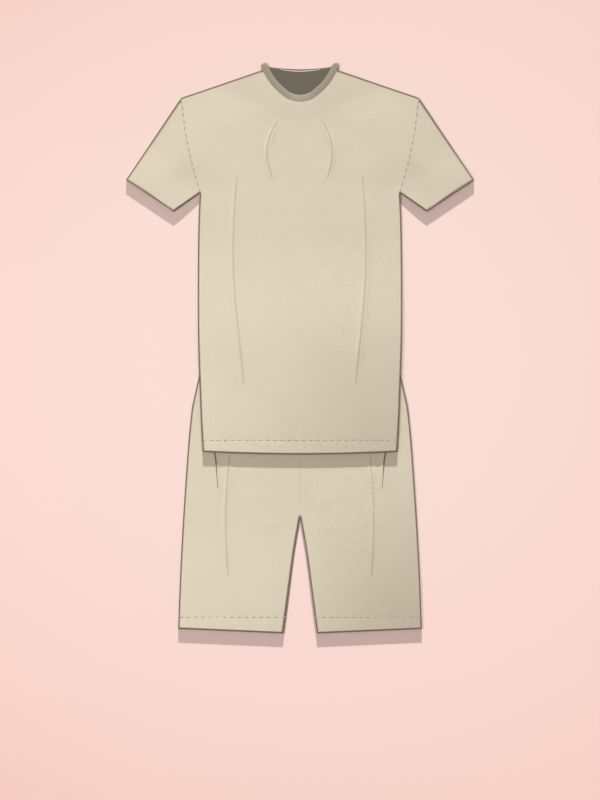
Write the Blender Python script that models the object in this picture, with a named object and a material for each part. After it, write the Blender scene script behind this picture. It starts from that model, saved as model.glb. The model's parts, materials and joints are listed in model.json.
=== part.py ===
"""Co-ord set laid flat: a short-sleeved tunic top over the upper half of wide shorts.

Metres, +Z up. The set lies face up on the plane z = 0, with its neck towards +Y.
X = 0 is its mirror line and +X is the wearer's left. Y = 0 is half way between
the top of the neckband and the hems of the shorts.
"""

import math
from collections import namedtuple

import bmesh
import bpy
from mathutils import Vector

Edge = namedtuple("Edge", "y half_width")
Fold = namedtuple("Fold", "crest height half_width ease")
Spot = namedtuple("Spot", "x y")

# Walls and the spaces between them
CLOTH = 0.0012
GAP = 0.0003
RIB = 0.0016
FACING = 0.0010
WELT = 0.0010
WAIST_WALL = 0.0014
HEM_TURN = 0.0008
TOP_LOFT = 0.0010
SHORTS_LOFT = 0.0004
LOFT_EASE = 0.040
HEM_RAMP = 0.220
CUFF_RAMP = 0.100

# Outline of the top, as half widths
SHOULDER = Spot(0.2678, 0.5619)
NECK_CORNER = Spot(0.0821, 0.6249)
CUFF_UPPER = Spot(0.3915, 0.3774)
CUFF_UNDER = Spot(0.2846, 0.3060)
UNDERARM = Spot(0.2250, 0.3476)
TOP_SIDE = (
    Edge(-0.2340, 0.2183),
    Edge(-0.1620, 0.2226),
    Edge(-0.0900, 0.2254),
    Edge(0.0170, 0.2292),
    Edge(0.1250, 0.2300),
    Edge(0.2330, 0.2294),
    Edge(0.3050, 0.2276),
    Edge(0.3476, 0.2250),
)
ARMHOLE = (
    Edge(0.3476, 0.2250),
    Edge(0.3707, 0.2306),
    Edge(0.4157, 0.2432),
    Edge(0.4773, 0.2561),
    Edge(0.5417, 0.2650),
    Edge(0.5619, 0.2678),
)
TOP_HEM_MIDDLE = -0.2399
TOP_HEM_STITCH = -0.2076

# Neck: centre lines of the band's front and back arcs, from the middle to the ear
BAND_WIDTH = 0.0148
EAR_REACH = 0.0056
EAR_TIP = 0.2
BAND_FRONT = (
    Spot(0.0, 0.5608),
    Spot(0.0235, 0.5662),
    Spot(0.0400, 0.5778),
    Spot(0.0570, 0.5945),
    Spot(0.0705, 0.6140),
    Spot(0.0803, 0.6334),
)
BAND_BACK = (
    Spot(0.0, 0.6190),
    Spot(0.0250, 0.6199),
    Spot(0.0450, 0.6213),
    Spot(0.0600, 0.6228),
    Spot(0.0705, 0.6252),
    Spot(0.0803, 0.6334),
)
BACK_LINE = 0.0040
BACK_LINE_ENDS = 0.0020
FACING_HALF = 0.0690
NECK_RISE_REACH = 0.120

# Outline of the shorts, as half widths
SHORTS_SIDE = (
    Edge(-0.6320, 0.2742),
    Edge(-0.5226, 0.2702),
    Edge(-0.4146, 0.2648),
    Edge(-0.3066, 0.2580),
    Edge(-0.1986, 0.2500),
    Edge(-0.1500, 0.2450),
    Edge(-0.1344, 0.2432),
    Edge(-0.1180, 0.2397),
    Edge(-0.0580, 0.2262),
)
CROTCH = Spot(0.0, -0.3798)
INSEAM = (
    Edge(-0.6422, 0.0383),
    Edge(-0.5226, 0.0225),
    Edge(-0.4506, 0.0126),
    Edge(-0.3798, 0.0),
)
SHORTS_HEM_SIDE = -0.6320
SHORTS_HEM_INNER = -0.6422
SHORTS_HEM_STITCH = -0.6058
WAIST_SEAM = -0.0580
WAIST_TOP = -0.0240
WAIST_HALF = 0.2120

# Pocket: free edge of the welt, and the welt's width from there towards the middle
POCKET_EDGE = (
    Edge(-0.3147, 0.1856),
    Edge(-0.2840, 0.1881),
    Edge(-0.2548, 0.1906),
    Edge(-0.2346, 0.1940),
    Edge(-0.2000, 0.2005),
    Edge(-0.1650, 0.2085),
)
WELT_WIDTH = 0.0090

# Folds: the crest as places up the set and distances from the middle
CHEST_FOLD = Fold(
    crest=(
        Edge(0.3762, 0.0611),
        Edge(0.4112, 0.0709),
        Edge(0.4359, 0.0734),
        Edge(0.4539, 0.0718),
        Edge(0.4832, 0.0632),
        Edge(0.5088, 0.0506),
    ),
    height=0.0009,
    half_width=0.011,
    ease=0.040,
)
SIDE_FOLD = Fold(
    crest=(
        Edge(-0.0820, 0.1257),
        Edge(0.0692, 0.1420),
        Edge(0.1412, 0.1474),
        Edge(0.2109, 0.1492),
        Edge(0.2739, 0.1480),
        Edge(0.3257, 0.1453),
        Edge(0.3865, 0.1408),
    ),
    height=0.0012,
    half_width=0.013,
    ease=0.090,
)
LEG_FOLD = Fold(
    crest=(
        Edge(-0.5160, 0.1607),
        Edge(-0.4776, 0.1638),
        Edge(-0.4100, 0.1663),
        Edge(-0.3538, 0.1656),
        Edge(-0.3110, 0.1631),
        Edge(-0.2340, 0.1580),
    ),
    height=0.0008,
    half_width=0.012,
    ease=0.060,
)
FOLD_SHARES = (-1.0, -0.62, -0.28, 0.0, 0.28, 0.62, 1.0)

# Heights that the top takes where it lies on the shorts
SHORTS_LEVEL = 2 * CLOTH + GAP + SHORTS_LOFT
STEP_FOOT = 0.250
STEP_HEAD = -0.020
BUMP_FLAT = 0.010
BUMP_REACH = 0.100

# Rows and columns of the meshes
EDGE_INSETS = (0.045, 0.026, 0.011, 0.004, 0.0)
EDGE_CORNER = 0.0014
EDGE_RISES = (0.25, 0.5, 0.75)
LOFT_START = 0.05
CHEST_INNER = 0.4
BETWEEN_FOLDS = (0.3, 0.65)
YOKE_SHARES = (0.35, 0.7)
ROWS_OVER_SHORTS = 8
ROWS_IN_STEP = 8
ROWS_BELOW_UNDERARM = 3
ROWS_IN_CHEST = 8
ROWS_ABOVE_LEG_HEM = 3
ROWS_BELOW_CROTCH = 4
ROWS_TO_TOP_HEM = 6
ROWS_TO_WAIST = 5
WELT_ROWS = 8
FACING_COLUMNS = 10
SLEEVE_STATIONS = (0.0, 0.2, 0.4, 0.6, 0.8, 1.0)
FRONT_SECTIONS = 22
BACK_SECTIONS = 14
EAR_SECTIONS = 3
TURN_SECTIONS = 6
SHARP_ANGLE = math.radians(35)

# Blocks that cut the necklines
CUTTER_POINTS = 24
CUTTER_LOW = -0.010
CUTTER_HIGH = 0.030
CUTTER_TOP = 0.700

# Colours (linear), roughness of the three cloths
BODY_COLOUR = (0.72, 0.62, 0.48, 1.0)
RIB_COLOUR = (0.39, 0.33, 0.25, 1.0)
FACING_COLOUR = (0.155, 0.140, 0.107, 1.0)
CLOTH_ROUGHNESS = 0.9


def smooth(share):
    """A share from 0 to 1 with level ends."""
    share = min(max(share, 0.0), 1.0)
    return share * share * (3 - 2 * share)


def mix(a, b, share):
    return a + (b - a) * share


def steps(start, end, count):
    """Even steps from start, without the end."""
    return [mix(start, end, step / count) for step in range(count)]


def along(rows, y):
    """The half width at y, read from a smooth curve through a table's rows."""
    y = min(max(y, rows[0].y), rows[-1].y)
    at = max(i for i in range(len(rows) - 1) if rows[i].y <= y)
    slopes = []
    for i in (at, at + 1):
        before, after = rows[max(i - 1, 0)], rows[min(i + 1, len(rows) - 1)]
        slopes.append((after.half_width - before.half_width) / (after.y - before.y))
    low, high = rows[at], rows[at + 1]
    length = high.y - low.y
    t = (y - low.y) / length
    return (
        (1 + 2 * t) * (1 - t) ** 2 * low.half_width
        + t * (1 - t) ** 2 * length * slopes[0]
        + t * t * (3 - 2 * t) * high.half_width
        + t * t * (t - 1) * length * slopes[1]
    )


def arc_points(spots, count):
    """Points on a smooth line through spots, mirrored about x = 0 at its start."""
    line = [Vector((-spots[1].x, spots[1].y))] + [Vector(s) for s in spots]
    line.append(2 * line[-1] - line[-2])
    spans = len(spots) - 1
    points = []
    for n in range(count + 1):
        place = spans * n / count
        i = min(int(place), spans - 1)
        t = place - i
        a, b, c, d = line[i : i + 4]
        points.append(
            (
                2 * b
                + (c - a) * t
                + (2 * a - 5 * b + 4 * c - d) * t * t
                + (3 * b - a - 3 * c + d) * t**3
            )
            / 2
        )
    return points


def to_line(x, y, line):
    """Distance from a place to a line of straight runs."""
    nearest = math.inf
    for start, end in zip(line, line[1:]):
        run = Vector((end[0] - start[0], end[1] - start[1]))
        back = Vector((x - start[0], y - start[1]))
        share = min(max(back.dot(run) / run.length_squared, 0.0), 1.0)
        nearest = min(nearest, (back - share * run).length)
    return nearest


TOP_SEWN_LINES = (
    (NECK_CORNER, SHOULDER, CUFF_UPPER),
    (CUFF_UNDER, *((row.half_width, row.y) for row in reversed(TOP_SIDE))),
)
SHORTS_SEWN_LINES = (
    tuple((row.half_width, row.y) for row in SHORTS_SIDE),
    tuple((row.half_width, row.y) for row in INSEAM),
)
NECK_LINE = tuple(tuple(p) for p in arc_points(BAND_FRONT, 12))
CUFF_LINE = (CUFF_UPPER, CUFF_UNDER)


def loft(x, y, lines):
    """Share of the full loft: none along the sewn edges, all of it further in."""
    nearest = min(to_line(abs(x), y, line) for line in lines)
    return smooth(nearest / LOFT_EASE)


def fold_rise(fold, x, y):
    """Height of one fold above the cloth that it runs through."""
    low, high = fold.crest[0].y, fold.crest[-1].y
    if not low < y < high:
        return 0.0
    ends = smooth((y - low) / fold.ease) * smooth((high - y) / fold.ease)
    off = abs(abs(x) - along(fold.crest, y)) / fold.half_width
    return fold.height * ends * (1 - smooth(off))


def neck_rise(x, y):
    """How far the front stands up to clear the facing and the back of the band."""
    full = RIB + FACING + GAP - CLOTH
    return full * (1 - smooth(to_line(abs(x), y, NECK_LINE) / NECK_RISE_REACH))


def near_hem(y, stitch):
    """How close a place is to a hem that is turned under, from 0 to 1 at the stitching."""
    return 1 - smooth((y - stitch) / HEM_RAMP)


def shorts_wall(y):
    return CLOTH + HEM_TURN * near_hem(y, SHORTS_HEM_STITCH)


def shorts_back_top(x, y):
    return shorts_wall(y)


def shorts_front_low(x, y):
    lift = SHORTS_LOFT * loft(x, y, SHORTS_SEWN_LINES) * (1 - near_hem(y, SHORTS_HEM_STITCH))
    return shorts_back_top(x, y) + GAP + lift + fold_rise(LEG_FOLD, x, y)


def shorts_front_top(x, y):
    return shorts_front_low(x, y) + shorts_wall(y)


def welt_bump(x, y):
    """The top rises over the upper ends of the pocket welts."""
    middle = along(POCKET_EDGE, y) - WELT_WIDTH / 2
    off = abs(abs(x) - middle)
    past = max(y - POCKET_EDGE[-1].y, 0.0)
    away = max(math.hypot(off, past) - BUMP_FLAT, 0.0)
    return (WELT + GAP) * (1 - smooth(away / (BUMP_REACH - BUMP_FLAT)))


def pressed(x, y):
    """Share to which the top lies pressed flat: all of it at its hem and its cuffs."""
    cuff = 1 - smooth(to_line(abs(x), y, CUFF_LINE) / CUFF_RAMP)
    return max(near_hem(y, TOP_HEM_STITCH), cuff)


def top_wall(x, y):
    """Wall of the top, thicker at its hem and cuffs, but squeezed on the welts."""
    return CLOTH + max(HEM_TURN * pressed(x, y) - welt_bump(x, y) / 2, 0.0)


def top_back_low(x, y):
    on_shorts = 1 - smooth((y - STEP_HEAD) / (STEP_FOOT - STEP_HEAD))
    return (SHORTS_LEVEL + GAP) * on_shorts + welt_bump(x, y)


def top_back_top(x, y):
    return top_back_low(x, y) + top_wall(x, y)


def top_front_low(x, y):
    rise = TOP_LOFT * loft(x, y, TOP_SEWN_LINES) * (1 - pressed(x, y))
    rise = max(rise, neck_rise(x, y))
    rise += fold_rise(CHEST_FOLD, x, y) + fold_rise(SIDE_FOLD, x, y)
    return top_back_top(x, y) + GAP + rise


def top_front_top(x, y):
    return top_front_low(x, y) + top_wall(x, y)


def level(height):
    return lambda x, y: height


def finish(name, mesh, collection, material):
    """Makes the named object of a closed mesh, with its faces pointing out."""
    bmesh.ops.recalc_face_normals(mesh, faces=mesh.faces)
    data = bpy.data.meshes.new(name)
    mesh.to_mesh(data)
    mesh.free()
    data.shade_smooth()
    data.set_sharp_from_angle(angle=SHARP_ANGLE)
    piece = bpy.data.objects.new(name, data)
    if material:
        data.materials.append(material)
    collection.objects.link(piece)
    return piece


def panel(name, grid, low, top, collection, material=None):
    """A wall cut to a grid of places in plan, between two heights.

    grid is a list of rows, and each row is a list of (x, y).
    """
    mesh = bmesh.new()
    rows, columns = len(grid) - 1, len(grid[0]) - 1
    bmesh.ops.create_grid(mesh, x_segments=columns, y_segments=rows, size=0.5)
    for vert in mesh.verts:
        i = round((vert.co.x + 0.5) * columns)
        j = round((vert.co.y + 0.5) * rows)
        vert.co = (*grid[j][i], 0.0)
    made = bmesh.ops.extrude_face_region(mesh, geom=mesh.faces[:], use_keep_orig=True)
    upper = {part for part in made["geom"] if isinstance(part, bmesh.types.BMVert)}
    for vert in mesh.verts:
        height = top if vert in upper else low
        vert.co.z = height(vert.co.x, vert.co.y)
    return finish(name, mesh, collection, material)


def ring(name, loops, collection, material):
    """A closed skin through closed loops of points, the last joined to the first."""
    mesh = bmesh.new()
    verts = [[mesh.verts.new(point) for point in loop] for loop in loops]
    for k, loop in enumerate(verts):
        after = verts[(k + 1) % len(verts)]
        for m in range(len(loop)):
            n = (m + 1) % len(loop)
            mesh.faces.new((loop[m], loop[n], after[n], after[m]))
    return finish(name, mesh, collection, material)


def flat_tube(name, place, width, stations, shares, wall, upper_low, collection, material):
    """A tube pressed flat: two layers that turn into each other at both edges.

    place(share, station) is a place in plan, width(station) the distance across,
    wall(x, y) the thickness, and shares are the columns between the two rounded edges.
    """
    turn_depth = max(wall(*place(share, station)) for share in shares for station in stations) + GAP

    def column(share, inset, inner_inset, z_out, z_in):
        """One run along the tube, out on the skin and back on the inner face."""
        outer, inner = [], []
        for station in stations:
            towards = 1 if share < 0.5 else -1
            x, y = place(share + towards * inset / width(station), station)
            outer.append((x, y, z_out(x, y)))
            x, y = place(share + towards * inner_inset / width(station), station)
            inner.append((x, y, z_in(x, y)))
        return outer + inner[::-1]

    def layer(z_out, z_in):
        """Columns of one layer from the near edge to the far edge."""
        near = column(0.0, EDGE_CORNER, turn_depth, z_out, z_in)
        far = column(1.0, EDGE_CORNER, turn_depth, z_out, z_in)
        return [near] + [column(share, 0.0, 0.0, z_out, z_in) for share in shares] + [far]

    def edge(share):
        """Columns round one edge, from the lower layer to the upper one."""
        loops = []
        for rise in EDGE_RISES:
            inset = EDGE_CORNER * (1 - math.sin(math.pi * rise))
            loops.append(
                column(
                    share,
                    inset,
                    turn_depth,
                    lambda x, y: (2 * wall(x, y) + GAP) * rise,
                    lambda x, y: wall(x, y) + GAP * rise,
                )
            )
        return loops

    def upper_top(x, y):
        return upper_low(x, y) + wall(x, y)

    loops = layer(level(0.0), wall) + edge(1.0)
    loops += layer(upper_top, upper_low)[::-1] + edge(0.0)[::-1]
    return ring(name, loops, collection, material)


def cloth(name, colour):
    """Matt cloth in one colour."""
    material = bpy.data.materials.new(name)
    material.use_nodes = True
    shader = material.node_tree.nodes["Principled BSDF"]
    shader.inputs["Base Color"].default_value = colour
    shader.inputs["Roughness"].default_value = CLOTH_ROUGHNESS
    shader.inputs["Metallic"].default_value = 0.0
    material.diffuse_color = colour
    return material


def top_edge(y):
    """Half width of the body of the top: the side seam, then the armhole."""
    return along(ARMHOLE, y) if y > UNDERARM.y else along(TOP_SIDE, y)


def top_columns(y):
    """Distances from the middle of the columns of the top at one height."""
    chest = along(CHEST_FOLD.crest, y)
    side = along(SIDE_FOLD.crest, y)
    edge = top_edge(y)
    columns = [0.0, CHEST_INNER * chest]
    columns += [chest + share * CHEST_FOLD.half_width for share in FOLD_SHARES]
    columns += [mix(columns[-1], side - SIDE_FOLD.half_width, share) for share in BETWEEN_FOLDS]
    columns += [side + share * SIDE_FOLD.half_width for share in FOLD_SHARES]
    columns += [edge - inset for inset in EDGE_INSETS]
    return columns


def shoulder_line(x):
    """Upper edge of the body at a distance from the middle."""
    share = (x - NECK_CORNER.x) / (SHOULDER.x - NECK_CORNER.x)
    return mix(NECK_CORNER.y, SHOULDER.y, max(share, 0.0))


def top_hem(x):
    corner = TOP_SIDE[0]
    return mix(TOP_HEM_MIDDLE, corner.y, (x / corner.half_width) ** 2)


def top_grid():
    """Rows of the top from hem to shoulder, for its front and its back alike."""
    chest_low, chest_high = CHEST_FOLD.crest[0].y, CHEST_FOLD.crest[-1].y
    level_rows = steps(TOP_HEM_STITCH, STEP_HEAD, ROWS_OVER_SHORTS)
    level_rows += steps(STEP_HEAD, STEP_FOOT, ROWS_IN_STEP)
    level_rows += steps(STEP_FOOT, UNDERARM.y, ROWS_BELOW_UNDERARM) + [UNDERARM.y]
    level_rows += steps(chest_low, chest_high, ROWS_IN_CHEST) + [chest_high]
    grid = [[(x, top_hem(x)) for x in top_columns(TOP_SIDE[0].y)]]
    grid += [[(x, y) for x in top_columns(y)] for y in level_rows]
    head = top_columns(SHOULDER.y)
    for share in YOKE_SHARES:
        ys = [mix(chest_high, shoulder_line(x) - EDGE_INSETS[0], share) for x in head]
        grid.append([(top_columns(y)[k], y) for k, y in enumerate(ys)])
    for inset in EDGE_INSETS:
        ys = [shoulder_line(x) - inset for x in head]
        grid.append([(top_columns(y)[k], y) for k, y in enumerate(ys)])
    return [[(-x, y) for x, y in reversed(row[1:])] + row for row in grid]


def shorts_grid(side):
    """Rows of one leg from hem to waist seam; side is 1 for the left leg."""
    fold_low, fold_high = LEG_FOLD.crest[0].y, LEG_FOLD.crest[-1].y
    level_rows = steps(SHORTS_HEM_STITCH, fold_low, ROWS_ABOVE_LEG_HEM)
    level_rows += steps(fold_low, CROTCH.y, ROWS_BELOW_CROTCH)
    level_rows += steps(CROTCH.y, fold_high, ROWS_TO_TOP_HEM)
    level_rows += steps(fold_high, WAIST_SEAM - GAP, ROWS_TO_WAIST) + [WAIST_SEAM - GAP]

    def columns(y):
        inner = GAP / 2 + (along(INSEAM, y) if y < CROTCH.y else 0.0)
        crest = along(LEG_FOLD.crest, y)
        edge = along(SHORTS_SIDE, y)
        xs = [inner + inset for inset in reversed(EDGE_INSETS)]
        xs += [crest + share * LEG_FOLD.half_width for share in FOLD_SHARES]
        return xs + [edge - inset for inset in EDGE_INSETS]

    def hem(x):
        share = (x - INSEAM[0].half_width) / (SHORTS_SIDE[0].half_width - INSEAM[0].half_width)
        return mix(SHORTS_HEM_INNER, SHORTS_HEM_SIDE, share)

    grid = [[(x, hem(x)) for x in columns(SHORTS_HEM_INNER)]]
    grid += [[(x, y) for x in columns(y)] for y in level_rows]
    return [[(side * x, y) for x, y in row] for row in grid]


def welt(name, side, collection, material):
    """Narrow strip on the front of one leg, its free edge towards the side seam."""
    ends = (POCKET_EDGE[0].y, POCKET_EDGE[-1].y)
    grid = []
    for step in range(WELT_ROWS + 1):
        y = mix(*ends, step / WELT_ROWS)
        edge = along(POCKET_EDGE, y)
        grid.append([(side * (edge - WELT_WIDTH), y), (side * edge, y)])

    def low(x, y):
        return shorts_front_top(x, y) + GAP

    def top(x, y):
        return low(x, y) + WELT

    return panel(name, grid, low, top, collection, material)


def across_of(points, k):
    """Unit vector across a line at one of its points, away from the neck's middle."""
    before, after = points[max(k - 1, 0)], points[min(k + 1, len(points) - 1)]
    run = (after - before).normalized()
    return Vector((run.y, -run.x))


def band_half(past):
    """Half width of the band at a distance past the middle of its rounded end."""
    radius = BAND_WIDTH / 2
    return math.sqrt(max(radius * radius - past * past, (EAR_TIP * radius) ** 2))


def band_sections(spots, count, ear_run, height):
    """Sections of one arc from its middle to its end: place, across, half width, height."""
    points = arc_points(spots, count)
    pasts = [0.0] * len(points)
    for step in range(EAR_SECTIONS):
        past = EAR_REACH * (step + 1) / EAR_SECTIONS
        pasts.append(past)
        points.append(Vector(spots[-1]) + ear_run * past)
    sections = []
    for k, point in enumerate(points):
        across = Vector((0.0, -1.0)) if k == 0 else across_of(points, k)
        sections.append((point, across, band_half(pasts[k]), height(point.x, point.y)))
    return sections


def neckband(collection, material):
    """Ring of rib: a front arc, a fold at each ear, and a back arc under it."""

    def front_middle(x, y):
        return top_front_low(x, y) + RIB / 2

    before_ear, ear = arc_points(BAND_FRONT, FRONT_SECTIONS)[-2:]
    ear_run = (ear - before_ear).normalized()
    front = band_sections(BAND_FRONT, FRONT_SECTIONS, ear_run, front_middle)
    back = band_sections(BAND_BACK, BACK_SECTIONS, ear_run, level(RIB / 2))
    end, end_across, _, end_height = front[-1]
    bend = (end_height - RIB / 2) / 2
    half_ring = []

    def corners(point, across, half, height, up):
        """Four corners of a section; up is its thickness direction as (plan, z)."""
        centre = Vector((point.x, point.y, height))
        side = Vector((across.x, across.y, 0.0)) * half
        lift = Vector((ear_run.x * up[0], ear_run.y * up[0], up[1])) * (RIB / 2)
        return [centre - side + lift, centre + side + lift, centre + side - lift, centre - side - lift]

    for point, across, half, height in front:
        half_ring.append(corners(point, across, half, height, (0.0, 1.0)))
    for step in range(1, TURN_SECTIONS):
        turn = math.pi * step / TURN_SECTIONS
        out = bend * math.sin(turn)
        height = RIB / 2 + bend * (1 + math.cos(turn))
        up = (math.sin(turn), math.cos(turn))
        half = band_half(EAR_REACH + out)
        half_ring.append(corners(end + ear_run * out, end_across, half, height, up))
    for point, across, half, height in reversed(back):
        half_ring.append(corners(point, across, half, height, (0.0, -1.0)))
    mirrored = [[Vector((-p.x, p.y, p.z)) for p in loop] for loop in half_ring[-2:0:-1]]
    return ring("neckband", half_ring + mirrored, collection, material)


def sleeve(name, side, collection, material):
    """Sleeve folded along its upper edge and seamed under the arm."""
    cuff_run = Vector(CUFF_UPPER) - Vector(CUFF_UNDER)

    def place(share, station):
        y = mix(UNDERARM.y, SHOULDER.y, share)
        start = Vector((along(ARMHOLE, y) + GAP, y))
        end = Vector(CUFF_UNDER) + cuff_run * share
        spot = mix(start, end, station)
        return side * spot.x, spot.y

    def width(station):
        armhole = (Vector(SHOULDER) - Vector(UNDERARM)).length
        return mix(armhole, cuff_run.length, station)

    rise = SHOULDER.y - UNDERARM.y
    seam_rows = [row[-1][1] for row in top_grid()]
    shares = [(y - UNDERARM.y) / rise for y in seam_rows if UNDERARM.y < y < SHOULDER.y]
    shares = [LOFT_START] + shares
    return flat_tube(
        name, place, width, SLEEVE_STATIONS, shares, top_wall, top_front_low, collection, material
    )


def waistband(collection, material):
    """Ring of doubled cloth at the top of the shorts, under the hem of the top."""

    def half(y):
        return mix(SHORTS_SIDE[-1].half_width, WAIST_HALF, (y - WAIST_SEAM) / (WAIST_TOP - WAIST_SEAM))

    def place(share, station):
        y = mix(WAIST_SEAM, WAIST_TOP, station)
        return mix(-half(y), half(y), share), y

    def width(station):
        return 2 * half(mix(WAIST_SEAM, WAIST_TOP, station))

    wall = level(WAIST_WALL)
    low = level(WAIST_WALL + GAP)
    ends = (0.0, 1.0)
    return flat_tube("waistband", place, width, ends, (0.5,), wall, low, collection, material)


def neck_facing(collection, material):
    """Half moon on the inside of the back, its lower edge under the front of the band."""
    front = arc_points(BAND_FRONT, 40)
    back = arc_points(BAND_BACK, 40)

    def on(points, x):
        after = next(k for k in range(1, len(points)) if points[k].x >= x)
        a, b = points[after - 1], points[after]
        return mix(a.y, b.y, (x - a.x) / (b.x - a.x))

    half_columns = steps(0.0, FACING_HALF, FACING_COLUMNS) + [FACING_HALF]
    columns = [-x for x in reversed(half_columns[1:])] + half_columns
    grid = [[], [], []]
    for x in columns:
        off = abs(x)
        back_line = mix(BACK_LINE, BACK_LINE_ENDS, smooth(off / FACING_HALF))
        upper = on(back, off) + BAND_WIDTH / 2 - back_line
        lower = on(front, off)
        for row, share in enumerate((0.0, 0.5, 1.0)):
            grid[row].append((x, mix(lower, upper, share)))
    low = level(RIB + GAP)
    top = level(RIB + GAP + FACING)
    return panel("neck_facing", grid, low, top, collection, material)


def neck_cutter(name, spots, collection):
    """Block that cuts a neckline one gap outside the band's edge."""
    points = arc_points(spots, CUTTER_POINTS)
    half = []
    for k, point in enumerate(points):
        across = Vector((0.0, -1.0)) if k == 0 else across_of(points, k)
        half.append(point + across * (BAND_WIDTH / 2 + GAP))
    line = [(-p.x, p.y) for p in reversed(half[1:])] + [(p.x, p.y) for p in half]
    upper = [(x, CUTTER_TOP) for x, _ in line]
    cutter = panel(name, [line, upper], level(CUTTER_LOW), level(CUTTER_HIGH), collection)
    cutter.hide_render = True
    cutter.display_type = "WIRE"
    return cutter


def cut(piece, cutter):
    boolean = piece.modifiers.new("Neckline", "BOOLEAN")
    boolean.operation = "DIFFERENCE"
    boolean.solver = "EXACT"
    boolean.object = cutter


def clear_scene():
    for old in list(bpy.data.objects):
        bpy.data.objects.remove(old, do_unlink=True)


def main():
    clear_scene()
    pieces = bpy.data.collections.new("co-ord set")
    cutters = bpy.data.collections.new("cutters")
    for collection in (pieces, cutters):
        bpy.context.scene.collection.children.link(collection)
    body = cloth("body cloth", BODY_COLOUR)
    rib = cloth("neck rib", RIB_COLOUR)
    dark = cloth("facing cloth", FACING_COLOUR)

    grid = top_grid()
    back = panel("top_back", grid, top_back_low, top_back_top, pieces, body)
    front = panel("top_front", grid, top_front_low, top_front_top, pieces, body)
    cut(front, neck_cutter("front_neckline", BAND_FRONT, cutters))
    cut(back, neck_cutter("back_neckline", BAND_BACK, cutters))
    neckband(pieces, rib)
    neck_facing(pieces, dark)
    waistband(pieces, body)
    for word, side in (("left", 1), ("right", -1)):
        sleeve("sleeve_" + word, side, pieces, body)
        leg = shorts_grid(side)
        panel("shorts_back_" + word, leg, level(0.0), shorts_back_top, pieces, body)
        panel("shorts_front_" + word, leg, shorts_front_low, shorts_front_top, pieces, body)
        welt("pocket_welt_" + word, side, pieces, body)


main()
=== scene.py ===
"""Looks of the co-ord set laid flat: cloth shells, seams, stitches, neck rib, light and camera.

Metres, +Z up, in the frame of the CAD model. The neck is towards +Y and +X is the
wearer's left. Every cloth shell follows the heights of its own CAD solid, with finer
folds, rounded edges and small creases.
"""

import json
import math
from collections import namedtuple

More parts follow.
